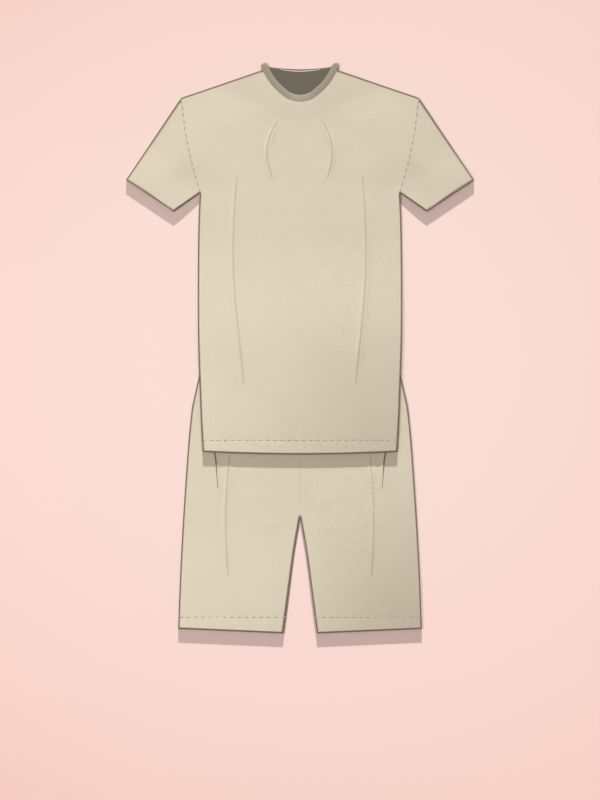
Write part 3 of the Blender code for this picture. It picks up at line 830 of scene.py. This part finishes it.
def wall(name, x, y, low, top, outline, material, slot, shade=None, grain=0.0):
    """A wall of cloth over a grid of places, rounded along its outline and its seams.

    Its columns may run either way across. The grain is the angle that turns the weave.
    """
    z_low, z_top = low(x, y), top(x, y)
    off = from_lines(x, y, outline)
    seam = np.minimum(from_ends(x, y), from_ends(x.T, y.T).T)
    keep = rounding(off, EDGE_ROUND) * rounding(seam, SEAM_ROUND)
    middle = (z_low + z_top) / 2
    half = (z_top - z_low) / 2 * keep
    points = np.concatenate(
        [np.stack((x, y, middle + side * half), axis=2).reshape(-1, 3) for side in (1, -1)]
    )
    index = np.arange(x.size).reshape(x.shape)
    a, b, c, d = index[:-1, :-1], index[:-1, 1:], index[1:, 1:], index[1:, :-1]
    upper = np.stack((a, b, c, d), axis=2).reshape(-1, 4)
    lower = upper[:, ::-1] + index.size
    rim = np.concatenate((index[0, :-1], index[:-1, -1], index[-1, :0:-1], index[:0:-1, 0]))
    after = np.roll(rim, -1)
    sides = np.stack((rim, rim + index.size, after + index.size, after), axis=1)
    faces = np.concatenate((upper, lower, sides))
    if x[0, -1] < x[0, 0]:
        faces = faces[:, ::-1]
    cosine, sine = math.cos(grain), math.sin(grain)
    turned = np.stack((x * cosine + y * sine, y * cosine - x * sine), axis=2).reshape(-1, 2)
    # Painted shade along the outline, joined by any painted shade that the piece adds
    tint = edge_shade(off)
    if shade:
        tint = np.maximum(tint, shade(x, y))
    tint = np.tile(tint.reshape(-1), 2)
    new_piece(name, points, faces, np.tile(turned, (2, 1)), tint, material, slot)


def feed(tree, made, inputs):
    """Sets inputs of a node, or links them to the sockets that feed them."""
    for name, source in inputs.items():
        if isinstance(source, bpy.types.NodeSocket):
            tree.links.new(source, made.inputs[name])
        else:
            made.inputs[name].default_value = source


def node(tree, kind, inputs=None, **settings):
    """Adds a node, sets its properties, then feeds its inputs."""
    made = tree.nodes.new(kind)
    for name, value in settings.items():
        setattr(made, name, value)
    feed(tree, made, inputs or {})
    return made


def node_group(name, kind, inputs, outputs):
    """A new node group with typed inputs and outputs, and the sockets that its inputs give."""
    tree = bpy.data.node_groups.new(name, kind)
    for title, (form, value) in inputs.items():
        socket = tree.interface.new_socket(title, in_out="INPUT", socket_type="NodeSocket" + form)
        if value is not None:
            socket.default_value = value
    for title, form in outputs.items():
        tree.interface.new_socket(title, in_out="OUTPUT", socket_type="NodeSocket" + form)
    return tree, node(tree, "NodeGroupInput").outputs


def maths(tree, operation, *values):
    """The result of a math node on sockets and plain numbers."""
    return node(tree, "ShaderNodeMath", dict(enumerate(values)), operation=operation).outputs[0]


def scaled(tree, vector, factor):
    """A vector or a colour times a factor."""
    inputs = {0: vector, "Scale": factor}
    return node(tree, "ShaderNodeVectorMath", inputs, operation="SCALE").outputs[0]


def weave_group():
    """Plain woven cloth: crossing yarns, slubs and a slow mottle, from metric cloth coordinates."""
    inputs = {
        "Cloth place": ("Vector", None),
        "Colour": ("Color", (*BODY_FINISH.colour, 1.0)),
        "Yarn pitch": ("Float", BODY_FINISH.pitch),
        "Slub": ("Float", BODY_FINISH.slub),
        "Mottle": ("Float", BODY_FINISH.mottle),
    }
    outputs = {"Colour": "Color", "Roughness": "Float", "Height": "Float"}
    tree, given = node_group("woven cloth", "ShaderNodeTree", inputs, outputs)
    apart = node(tree, "ShaderNodeSeparateXYZ", {0: given["Cloth place"]}).outputs
    turns = maths(tree, "DIVIDE", math.tau, given["Yarn pitch"])
    warp, weft = (maths(tree, "SINE", maths(tree, "MULTIPLY", apart[axis], turns)) for axis in "XY")
    weave = maths(tree, "MULTIPLY", warp, weft)

    def stretched_noise(scale):
        stretch = {"Vector": given["Cloth place"], "Scale": scale}
        mapped = node(tree, "ShaderNodeMapping", stretch).outputs[0]
        noise = node(tree, "ShaderNodeTexNoise", {"Vector": mapped, "Scale": 1.0, "Detail": 2.0})
        return noise.outputs[0]

    slubs = maths(tree, "ADD", stretched_noise(WEFT_SLUBS), stretched_noise(WARP_SLUBS))
    slubs = maths(tree, "SUBTRACT", slubs, 1.0)
    mottle = maths(tree, "SUBTRACT", stretched_noise(SLOW_MOTTLE), 0.5)
    slub_part = maths(tree, "MULTIPLY", slubs, given["Slub"])
    mottle_part = maths(tree, "MULTIPLY", mottle, given["Mottle"])
    change = maths(tree, "ADD", slub_part, mottle_part)
    colour = scaled(tree, given["Colour"], maths(tree, "ADD", change, 1.0))
    rough = maths(tree, "MULTIPLY_ADD", slubs, ROUGHNESS_CHANGE, ROUGHNESS)
    height = maths(tree, "MULTIPLY_ADD", slubs, SLUB_RELIEF, weave)
    node(tree, "NodeGroupOutput", {"Colour": colour, "Roughness": rough, "Height": height})
    return tree


def cloth_material(name, weave, finish, flat=True):
    """Woven cloth that darkens to the painted shade colour where the tint attribute says so.

    Flat cloth takes its weave from its own cloth coordinates, thread from its place in the set.
    """
    material = bpy.data.materials.new(name)
    material.use_nodes = True
    tree = material.node_tree
    if flat:
        place = node(tree, "ShaderNodeUVMap", uv_map="cloth").outputs[0]
    else:
        place = node(tree, "ShaderNodeTexCoord").outputs["Object"]
    cloth = {
        "Cloth place": place,
        "Colour": (*finish.colour, 1.0),
        "Yarn pitch": finish.pitch,
        "Slub": finish.slub,
        "Mottle": finish.mottle,
    }
    woven = node(tree, "ShaderNodeGroup", cloth, node_tree=weave).outputs
    tint = node(tree, "ShaderNodeAttribute", attribute_name="tint").outputs["Fac"]
    colours = {"Factor": tint, "A": woven["Colour"], "B": (*PAINTED_SHADE, 1.0)}
    edged = node(tree, "ShaderNodeMix", colours, data_type="RGBA")
    yarns = {"Height": woven["Height"], "Strength": 1.0, "Distance": finish.bump}
    relief = node(tree, "ShaderNodeBump", yarns)
    looks = {
        "Base Color": edged.outputs["Result"],
        "Roughness": woven["Roughness"],
        "Normal": relief.outputs[0],
        "Sheen Weight": SHEEN,
        "Sheen Roughness": SHEEN_ROUGHNESS,
        "Specular IOR Level": GLOSS,
    }
    feed(tree, tree.nodes["Principled BSDF"], looks)
    return material


def run_of(line):
    """Distance along a line at each of its points."""
    return np.concatenate(([0.0], np.cumsum(np.hypot(*np.diff(line, axis=0).T))))


def square_to(line):
    """Unit vectors across a line at each of its points, straight down at its start."""
    runs = np.gradient(line, axis=0)
    runs /= np.hypot(runs[:, 0], runs[:, 1])[:, None]
    across = np.stack((runs[:, 1], -runs[:, 0]), axis=1)
    across[0] = (0.0, -1.0)
    return across


def crown_line(line, shares):
    """Places along a neckline and then the shoulder, at shares from 0 to 1."""
    run = run_of(line)
    corner = np.argmin(np.abs(shares - NECK_SHARE))
    neck_shares = shares[: corner + 1] / shares[corner]
    neck = np.stack([np.interp(neck_shares * run[-1], run, line[:, k]) for k in (0, 1)], axis=1)
    shoulder_shares = (shares[corner + 1 :] - shares[corner]) / (1 - shares[corner])
    shoulder = line[-1] + shoulder_shares[:, None] * (np.array(SHOULDER) - line[-1])
    return np.concatenate((neck, shoulder))


def neckline(spots):
    """The edge of a panel along the neckband, up to the shoulder line."""
    points = arc_points(spots, ARC_STEPS)
    line = points + square_to(points) * (BAND_WIDTH / 2 + SEAM_GAP)
    slope = (SHOULDER[1] - NECK_CORNER[1]) / (SHOULDER[0] - NECK_CORNER[0])
    shoulder = NECK_CORNER[1] + (line[:, 0] - NECK_CORNER[0]) * slope
    above = np.nonzero(line[:, 1] > shoulder)[0]
    return line[: above[0]] if len(above) else line


def top_grid(spots, spacing):
    """Places of the top's front or back, from hem to shoulder, over its whole width."""
    beside = ((0.0,), FOLD_BESIDE, FOLD_BESIDE, FAR_RIM)
    weights, offsets = spaced(beside, TOP_STRETCHES, spacing)

    def across(y):
        edge = np.where(y > UNDERARM[1], along(ARMHOLE, y), along(TOP_SIDE, y))
        anchors = (np.zeros_like(y), along(CHEST_FOLD.crest, y), along(SIDE_FOLD.crest, y), edge)
        return (weights * np.stack(anchors, axis=1)).sum(axis=1) + offsets

    rows = rimmed(int((YOKE_START - TOP_HEM_MIDDLE) / spacing), far=False)
    xs, ys = [], []
    for share, inset in rows:
        guess = across(np.full(len(offsets), mix(TOP_HEM_MIDDLE, YOKE_START, share)))
        y = mix(top_hem(guess), YOKE_START, share) + inset
        xs.append(across(y))
        ys.append(y)
    base = np.stack((xs[-1], ys[-1]), axis=1)
    shares = base[:, 0] / base[-1, 0]
    runs = crown_line(neckline(spots), shares) - base
    lengths = np.hypot(runs[:, 0], runs[:, 1])
    for share, inset in rimmed(YOKE_ROWS, near=False)[1:]:
        spot = base + runs * (share + inset / lengths)[:, None]
        straight = mix(base[-1, 0], SHOULDER[0], share)
        bend = along(ARMHOLE, spot[-1, 1]) - straight
        xs.append(spot[:, 0] + bend * smooth(2 * shares - 1) * (share < 1))
        ys.append(spot[:, 1])
    x, y = np.array(xs), np.array(ys)
    x = np.concatenate((-x[:, :0:-1], x), axis=1)
    y = np.concatenate((y[:, :0:-1], y), axis=1)
    return x, y


def leg_grid(side, spacing):
    """Places of one leg from hem to waist seam, found in passes because its hem slopes."""
    weights, offsets = spaced((RIM_INSETS, FOLD_BESIDE, FAR_RIM), LEG_STRETCHES, spacing)
    rows = rimmed(int((WAIST_SEAM - SHORTS_HEM_INNER) / spacing))
    xs, ys = [], []
    for share, inset in rows:
        y = np.full(len(offsets), mix(SHORTS_HEM_INNER, WAIST_SEAM - GAP, share) + inset)
        for _ in range(LEG_GRID_PASSES):
            inner = SEAM_GAP / 2 + np.where(y < CROTCH_Y, along(INSEAM, y), 0.0)
            anchors = (inner, along(LEG_FOLD.crest, y), along(SHORTS_SIDE, y))
            x = (weights * np.stack(anchors, axis=1)).sum(axis=1) + offsets
            y = mix(shorts_hem(x), WAIST_SEAM - GAP, share) + inset
        xs.append(x)
        ys.append(y)
    return side * np.array(xs), np.array(ys)


def torus(name, points, cloth_uv, tint, material, slot):
    """A closed skin over an array of loops, closed both along and around."""
    loops, length = points.shape[:2]
    index = np.arange(loops * length).reshape(loops, length)
    next_loop = np.roll(index, -1, axis=0)
    faces = np.stack(
        (index, np.roll(index, -1, axis=1), np.roll(next_loop, -1, axis=1), next_loop), axis=2
    ).reshape(-1, 4)
    flat = points.reshape(-1, 3)
    a, b, c = flat[faces[:, 0]], flat[faces[:, 1]], flat[faces[:, 2]]
    volume = np.einsum("ij,ij->i", a, np.cross(b, c)).sum()
    if volume < 0:
        faces = faces[:, ::-1]
    new_piece(name, flat, faces, cloth_uv.reshape(-1, 2), tint.reshape(-1), material, slot)


def pressed_tube(name, place, lengths, stations, reach, thickness, upper_low, material):
    """A tube pressed flat, open at both ends, its two layers turned into each other at the sides.

    place(share) gives places in plan for shares across the tube, one column a station.
    """
    columns = rimmed(int(lengths.max() / FINE))

    def spread(inset):
        """Shares across, kept at least the inset away from both sides."""
        share = columns[:, :1] + columns[:, 1:] / lengths
        towards = np.where(columns[:, :1] < 0.5, 1.0, -1.0)
        short = np.maximum(inset - np.minimum(share, 1 - share) * lengths, 0.0)
        return share + towards * short / lengths

    share = spread(0.0)
    near_side = np.minimum(share, 1 - share) * lengths
    x, y = place(share)
    walls = thickness(x, y)
    inner_x, inner_y = place(spread(walls.max()))
    to_end = np.minimum(stations, 1 - stations) * reach
    side_keep, end_keep = rounding(near_side, EDGE_ROUND), rounding(to_end, SEAM_ROUND)
    top, under = upper_low(x, y) + walls, upper_low(inner_x, inner_y)
    fold_level = walls + GAP / 2
    half = (top - under) / 2 * end_keep
    upper_out = mix(fold_level, (top + under) / 2 + half, side_keep)
    upper_in = (top + under) / 2 - half
    lower_out = mix(fold_level, walls / 2 * (1 - end_keep), side_keep)
    lower_in = walls / 2 * (1 + end_keep)

    def loops(outside, inside):
        skin = np.stack((x, y, outside), axis=2)
        inner = np.stack((inner_x, inner_y, inside), axis=2)
        return np.concatenate((skin, inner[:, ::-1]), axis=1)

    def there_and_back(values):
        both = np.concatenate((values, values[:, ::-1]), axis=1)
        return np.concatenate((both, both[::-1]))

    points = np.concatenate((loops(lower_out, lower_in), loops(upper_out, upper_in)[::-1]))
    off = from_lines(x, y, (TOP_UPPER_LINE, TOP_LOWER_LINE, CUFF_LINE))
    run = np.broadcast_to(stations * reach, x.shape)
    cloth_uv = there_and_back(np.stack((share * lengths, run), axis=2))
    tint = there_and_back(edge_shade(off))
    torus(name, points, cloth_uv, tint, material, "body_cloth")


def sleeve(name, side, material):
    """Sleeve folded along its upper edge and seamed under the arm, open at both ends."""
    cuff = np.array(CUFF_UPPER) - np.array(CUFF_UNDER)
    reach = math.dist(SHOULDER, CUFF_UPPER)
    stations = rimmed(int(reach / FINE))
    station = stations[:, 0] + stations[:, 1] / reach
    lengths = mix(math.dist(SHOULDER, UNDERARM), math.hypot(*cuff), station)

    def place(share):
        y = mix(UNDERARM[1], SHOULDER[1], share)
        start_x = along(ARMHOLE, y) + SEAM_GAP
        end_x = CUFF_UNDER[0] + share * cuff[0]
        end_y = CUFF_UNDER[1] + share * cuff[1]
        return side * mix(start_x, end_x, station), mix(y, end_y, station)

    def thickness(x, y):
        return CLOTH + top_turn(x, y)

    pressed_tube(name, place, lengths, station, reach, thickness, top_front_low, material)


def waistband(material):
    """Ring of doubled cloth at the top of the shorts, under the hem of the top."""
    reach = WAIST_TOP - WAIST_SEAM
    station = np.linspace(0.0, 1.0, WAIST_STEPS)
    half = mix(SHORTS_SIDE[-1].half_width, WAIST_HALF, station)

    def place(share):
        return half * (2 * share - 1), np.broadcast_to(mix(WAIST_SEAM, WAIST_TOP, station), share.shape)

    low = level(WAIST_WALL + GAP)
    walls = level(WAIST_WALL)
    pressed_tube("waistband", place, 2 * half, station, reach, walls, low, material)


def band_arc(spots, count, ear_run, height, lift):
    """Loops of the neckband along one of its arcs and on to the ear."""
    place = arc_points(spots, count)
    steps = np.linspace(0.0, EAR_REACH, EAR_STEPS)[1:, None]
    place = np.concatenate((place, place[-1] + ear_run * steps))
    past = np.concatenate((np.zeros(count + 1), steps[:, 0]))
    half = np.sqrt((BAND_WIDTH / 2) ** 2 - past**2)
    z = height(place[:, 0], place[:, 1]) + RIB / 2
    up = np.tile((0.0, 0.0, lift), (len(place), 1))
    return Loops(place, square_to(place), half, z, up)


def ear_fold(front, back):
    """Loops of the neckband round the fold at an ear, from the front arc to the back arc."""
    radius, bend = BAND_WIDTH / 2, (front.z[-1] - RIB / 2) / 2
    outward = np.array((-front.across[-1][1], front.across[-1][0]))
    steps = np.linspace(0.0, math.pi, EAR_STEPS)[1:-1]
    sines = np.sin(steps)
    place = front.place[-1] + outward * bend * sines[:, None]
    across = mix(front.across[-1], back.across[-1], (steps / math.pi)[:, None])
    across /= np.hypot(across[:, 0], across[:, 1])[:, None]
    past = EAR_REACH + bend * sines
    half = np.sqrt(np.maximum(radius**2 - past**2, EAR_LEAST * radius**2))
    z = RIB / 2 + bend * (1 + np.cos(steps))
    up = np.stack((outward[0] * sines, outward[1] * sines, np.cos(steps)), axis=1)
    return Loops(place, across, half, z, up)


def mirrored(rows):
    """Rows of one half of a ring, then those of its other half on the way back."""
    other = rows[-2:0:-1].copy()
    if rows.ndim > 1:
        other[:, 0] *= -1
    return np.concatenate((rows, other))


def neckband(material):
    """Ring of rib: front arc, a fold at each ear, and the back arc under it."""
    turn = np.linspace(0.0, math.tau, RIB_SECTION, endpoint=False)
    around = np.sign(np.cos(turn)) * np.abs(np.cos(turn)) ** RIB_SIDE_POWER
    through = np.sign(np.sin(turn)) * np.abs(np.sin(turn)) ** RIB_FACE_POWER
    ear_run = np.diff(arc_points(BAND_FRONT, FRONT_STEPS)[-2:], axis=0)
    ear_run /= np.hypot(*ear_run[0])
    front = band_arc(BAND_FRONT, FRONT_STEPS, ear_run, top_front_low, 1.0)
    back = band_arc(BAND_BACK, BACK_STEPS, ear_run, level(0.0), -1.0)
    parts = (front, ear_fold(front, back), [rows[::-1] for rows in back])
    place, across, half, z, up = (mirrored(np.concatenate(rows)) for rows in zip(*parts))
    run = run_of(place)
    ribs = RIB_DEPTH * (np.cos(run * math.tau / RIB_PITCH) - 1)
    crown = 1.0 - RIB_CROWN * around**2
    side = np.concatenate((across, np.zeros((len(across), 1))), axis=1)
    centre = np.concatenate((place, z[:, None]), axis=1)
    thick = (RIB / 2 * crown[None, :] + ribs[:, None] * np.abs(through)[None, :]) * through
    points = (
        centre[:, None, :]
        + side[:, None, :] * (half[:, None] * around)[:, :, None]
        + up[:, None, :] * thick[:, :, None]
    )
    cloth_uv = np.stack(np.broadcast_arrays(run[:, None], half[:, None] * around), axis=2)
    # Painted shade: the back of the band is darkened fully, the folds at the ears in part
    at_back = (points[:, :, 2] < RIB + GAP / 2) & (np.abs(points[:, :, 0]) < BACK_SHADE_HALF)
    at_ear = (np.hypot(up[:, 0], up[:, 1]) > EAR_TINT_TILT)[:, None]
    tint = np.where(at_back, 1.0, np.where(at_ear, EAR_SHADE, 0.0))
    torus("neckband", points, cloth_uv, tint, material, "neck_rib")


def back_line(x):
    """Width of the back of the neckband that shows above the facing and its tape."""
    return mix(BACK_LINE, BACK_LINE_ENDS, smooth(np.abs(x) / FACING_HALF))


def tape_bow(x):
    """Share of the tape's depth along its crescent."""
    return np.sqrt(np.maximum(1 - (x / TAPE_HALF) ** 2, 0.0)) * (np.abs(x) <= TAPE_SPAN)


def facing_edge(x):
    """Upper edge of the facing with its tape, below the back of the neckband."""
    back = arc_points(BAND_BACK, ARC_STEPS)
    return np.interp(np.abs(x), back[:, 0], back[:, 1]) + BAND_WIDTH / 2 - back_line(x)


def facing_wall(name, x, y, material, slot, grain=0.0):
    """A flat wall in the layer of the facing."""
    low, top = level(RIB + GAP), level(RIB + GAP + FACING)
    x = np.broadcast_to(x, y.shape)
    wall(name, x, y, low, top, (FAR_LINE,), material, slot, grain=grain)


def neck_facing(material):
    """Half moon on the inside of the back, seen through the neck, its dark colour painted shade."""
    front = arc_points(BAND_FRONT, ARC_STEPS)
    wings = np.linspace(TAPE_SPAN, FACING_HALF, FACING_WING_STEPS)[1:]
    x = np.concatenate((-wings[::-1], np.linspace(-TAPE_SPAN, TAPE_SPAN, TAPE_STEPS), wings))
    upper = facing_edge(x) - (TAPE_DEPTH + SEAM_GAP) * tape_bow(x)
    lower = np.interp(np.abs(x), front[:, 0], front[:, 1])
    rows = rimmed(FACING_ROWS)
    y = lower + (upper - lower) * rows[:, :1] + rows[:, 1:]
    facing_wall("neck_facing", x, y, material, "facing_cloth", FACING_GRAIN)


def neck_tape(material):
    """Narrow light crescent set into the upper edge of the facing."""
    x = np.linspace(-TAPE_SPAN, TAPE_SPAN, TAPE_STEPS)
    rows = np.array(TAPE_ROWS)[:, None]
    y = facing_edge(x) - TAPE_DEPTH * tape_bow(x) * (1 - rows)
    facing_wall("neck_tape", x, y, material, "body_cloth")


def welt(name, side, material):
    """Narrow strip on the front of one leg, its free edge towards the side seam."""
    rows = rimmed(WELT_ROWS)
    columns = rimmed(WELT_COLUMNS)
    ends = (POCKET_EDGE[0].y, POCKET_EDGE[-1].y)
    y = (ends[0] + (ends[1] - ends[0]) * rows[:, 0] + rows[:, 1])[:, None]
    edge = along(POCKET_EDGE, y)
    x = edge - WELT_WIDTH + WELT_WIDTH * columns[:, 0] + WELT_RIM * columns[:, 1]
    y = np.broadcast_to(y, x.shape)

    def low(px, py):
        return shorts_front_top(px, py) + SEAM_GAP

    def top(px, py):
        from_inner = np.abs(px) - along(POCKET_EDGE, py) + WELT_WIDTH
        full = smooth(from_inner / WELT_WIDTH) * smooth((py - ends[0]) / WELT_TAPER)
        return low(px, py) + WELT * np.maximum(full, WELT_THIN)

    # Painted shadow along the pocket's mouth, narrowing towards the welt's lower end
    def mouth(px, py):
        off = along(POCKET_EDGE, py) - np.abs(px)
        wide = EDGE_TINT[1] * smooth((py - ends[0]) / WELT_TAPER + MOUTH_LEAST)
        return 1 - smooth((off - MOUTH_CORE * wide) / ((1 - MOUTH_CORE) * wide))

    wall(name, side * x, y, low, top, (FAR_LINE,), material, "body_cloth", mouth)


def stitch_tree(material):
    """Running stitches along a line: one thread lozenge at each step of the line."""
    inputs = {
        "Line": ("Geometry", None),
        "Period": ("Float", STITCH_PERIOD),
        "Stitch length": ("Float", STITCH_LENGTH),
        "Thread width": ("Float", STITCH_WIDTH),
        "Thread thickness": ("Float", STITCH_THICKNESS),
    }
    outputs = {"Stitches": "Geometry"}
    tree, given = node_group("running stitch", "GeometryNodeTree", inputs, outputs)
    curve = node(tree, "GeometryNodeMeshToCurve", {0: given["Line"]}).outputs[0]
    steps = {"Curve": curve, "Length": given["Period"]}
    stepped = node(tree, "GeometryNodeResampleCurve", steps, mode="LENGTH").outputs[0]
    tangent = node(tree, "GeometryNodeInputTangent").outputs[0]
    turned = node(tree, "FunctionNodeAlignEulerToVector", {"Vector": tangent}, axis="X")
    unit = {"Segments": STITCH_SEGMENTS, "Rings": STITCH_RINGS, "Radius": 0.5}
    ball = node(tree, "GeometryNodeMeshUVSphere", unit).outputs[0]
    sides = {0: given["Stitch length"], 1: given["Thread width"], 2: given["Thread thickness"]}
    size = node(tree, "ShaderNodeCombineXYZ", sides).outputs[0]
    copies = {"Points": stepped, "Instance": ball, "Rotation": turned.outputs[0], "Scale": size}
    placed = node(tree, "GeometryNodeInstanceOnPoints", copies).outputs[0]
    real = node(tree, "GeometryNodeRealizeInstances", {0: placed}).outputs[0]
    shaded = node(tree, "GeometryNodeSetShadeSmooth", {0: real}).outputs[0]
    done = node(tree, "GeometryNodeSetMaterial", {0: shaded, "Material": material}).outputs[0]
    node(tree, "NodeGroupOutput", {0: done})
    return tree


def stitches(name, lines, tree):
    """Plain mesh of the stitches along several lines of points."""
    data = bpy.data.meshes.new(name + "_line")
    points, edges = [], []
    for line in lines:
        edges += [(len(points) + k, len(points) + k + 1) for k in range(len(line) - 1)]
        points += [tuple(p) for p in line]
    data.from_pydata(points, edges, [])
    guide = put(name + "_line", data)
    modifier = guide.modifiers.new("Stitches", "NODES")
    modifier.node_group = tree
    bpy.context.view_layer.update()
    evaluated = guide.evaluated_get(bpy.context.evaluated_depsgraph_get())
    made = bpy.data.meshes.new_from_object(evaluated)
    made.name = name
    bpy.data.objects.remove(guide)
    riding(name, made, "body_cloth")


def on_surface(x, y, surface):
    return np.stack((x, y, surface(x, y)), axis=1)


def all_stitches(thread):
    tree = stitch_tree(thread)
    half = along(TOP_SIDE, np.array(TOP_HEM_STITCH)) - STITCH_END
    x = np.linspace(-half, half, TOP_HEM_STEPS)
    hem = on_surface(x, np.full(len(x), TOP_HEM_STITCH), top_front_top)
    stitches("hem_stitches_top", [hem], tree)
    y = np.linspace(UNDERARM[1] + STITCH_END, SHOULDER[1] - STITCH_END, ARMHOLE_STEPS)
    x = along(ARMHOLE, y) - ARMHOLE_INSET
    arms = [on_surface(side * x, y, top_front_top) for side in (1, -1)]
    stitches("armhole_stitches", arms, tree)
    inner = along(INSEAM, np.array(SHORTS_HEM_STITCH))
    outer = along(SHORTS_SIDE, np.array(SHORTS_HEM_STITCH))
    x = np.linspace(outer - STITCH_END, inner + STITCH_END_INNER, LEG_HEM_STEPS)
    y = np.full(len(x), SHORTS_HEM_STITCH)
    for word, side in SIDES:
        hem = on_surface(side * x, y, shorts_front_top)
        stitches("hem_stitches_" + word, [hem], tree)


def declare_sheets():
    for name, cut in CUTS.items():
        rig.sheet(
            PIECES[name],
            flat=(cut.width, cut.length),
            held="laid",
            rests_on=cut.rests_on,
            area=cut.area,
            with_pieces=[PIECES[other] for other in cut.carries],
        )


def camera():
    data = bpy.data.cameras.new("camera")
    data.lens = CAMERA_LENS
    data.sensor_width = CAMERA_SENSOR
    data.clip_end = CAMERA_REACH
    eye = put("camera", data)
    eye.location = (0.0, CAMERA_Y, CAMERA_HEIGHT)
    bpy.context.scene.camera = eye


def lamp(name, kind, location, energy, target=(0.0, 0.0, 0.0), **settings):
    data = bpy.data.lights.new(name, kind)
    data.energy = energy
    for key, value in settings.items():
        setattr(data, key, value)
    light = put(name, data)
    light.location = location
    aim = Vector(target) - Vector(location)
    light.rotation_euler = aim.to_track_quat("-Z", "Y").to_euler()


def lights():
    far, rise = SUN_DISTANCE, SUN_ELEVATION
    low_sun = (0.0, far * math.cos(rise), far * math.sin(rise))
    lamp("low sun", "SUN", low_sun, SUN_STRENGTH, angle=SUN_SOFTNESS, color=SUN_COLOUR)
    lamp("window", "AREA", WINDOW_PLACE, WINDOW_POWER, WINDOW_AIM, size=WINDOW_SIZE)
    world = bpy.data.worlds.new("studio")
    world.use_nodes = True
    sky = world.node_tree.nodes["Background"]
    sky.inputs["Color"].default_value = SKY_COLOUR
    sky.inputs["Strength"].default_value = SKY_STRENGTH
    bpy.context.scene.world = world
    bpy.context.scene.view_settings.view_transform = "Standard"


def floor_material():
    """Pale matt floor, its tone evened out against the fall of the light."""
    material = bpy.data.materials.new("pale floor")
    material.use_nodes = True
    tree = material.node_tree
    place = node(tree, "ShaderNodeTexCoord").outputs["Object"]
    apart = node(tree, "ShaderNodeSeparateXYZ", {0: place}).outputs
    across = node(tree, "ShaderNodeClamp", {0: apart[0], 1: -FLOOR_TONE_END, 2: FLOOR_TONE_END})
    tone = maths(tree, "MULTIPLY_ADD", across.outputs[0], FLOOR_TILT, 1.0)
    square = node(tree, "ShaderNodeVectorMath", {0: place, 1: place}, operation="DOT_PRODUCT")
    far = maths(tree, "MINIMUM", square.outputs["Value"], FLOOR_TONE_END**2)
    parts = {0: scaled(tree, FLOOR_COLOUR, tone), 1: scaled(tree, FLOOR_FALL, far)}
    colour = node(tree, "ShaderNodeVectorMath", parts, operation="ADD")
    looks = {
        "Base Color": colour.outputs[0],
        "Roughness": FLOOR_ROUGHNESS,
        "Specular IOR Level": FLOOR_GLOSS,
    }
    feed(tree, tree.nodes["Principled BSDF"], looks)
    return material


def floor():
    data = bpy.data.meshes.new("floor")
    corners = [(-FLOOR_HALF, -FLOOR_HALF), (FLOOR_HALF, -FLOOR_HALF)]
    corners += [(-x, -y) for x, y in corners]
    data.from_pydata([(x, y, FLOOR_LEVEL) for x, y in corners], [], [(0, 1, 2, 3)])
    data.materials.append(floor_material())
    ground = put("floor", data)
    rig.stage(ground)


def main():
    camera()
    lights()
    floor()
    weave = weave_group()
    body = cloth_material("body cloth", weave, BODY_FINISH)
    rib = cloth_material("neck rib", weave, RIB_FINISH)
    dark = cloth_material("facing cloth", weave, SHADED_FACING_FINISH)
    thread = cloth_material("thread", weave, THREAD_FINISH, flat=False)

    top_lines = (TOP_UPPER_LINE, TOP_LOWER_LINE, TOP_HEM_LINE)
    x, y = top_grid(BAND_BACK, COARSE)
    wall("top_back", x, y, top_back_low, top_back_top, top_lines, body, "body_cloth")
    x, y = top_grid(BAND_FRONT, FINE)
    # Painted shade in the fold grooves and towards the front's lower corner
    tone = front_shade((CHEST_FOLD, SIDE_FOLD), TOP_CORNER_SHADE)
    wall("top_front", x, y, top_front_low, top_front_top, top_lines, body, "body_cloth", tone)
    neckband(rib)
    neck_facing(dark)
    neck_tape(body)
    waistband(body)
    leg_lines = (SIDE_LINE, INSEAM_LINE, LEG_HEM_LINE)
    tone = front_shade((LEG_FOLD,), SHORTS_CORNER_SHADE)
    for word, side in SIDES:
        sleeve("sleeve_" + word, side, body)
        x, y = leg_grid(side, COARSE)
        low, top = level(0.0), shorts_back_top
        wall("shorts_back_" + word, x, y, low, top, leg_lines, body, "body_cloth")
        x, y = leg_grid(side, FINE)
        low, top = shorts_front_low, shorts_front_top
        wall("shorts_front_" + word, x, y, low, top, leg_lines, body, "body_cloth", tone)
        welt("pocket_welt_" + word, side, body)
    all_stitches(thread)
    declare_sheets()


main()

with open("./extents.json", "w") as sizes:
    boxes = [[list(map(float, corner)) for corner in box] for box in (CAD_BOX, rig.bounds())]
    json.dump(boxes, sizes)
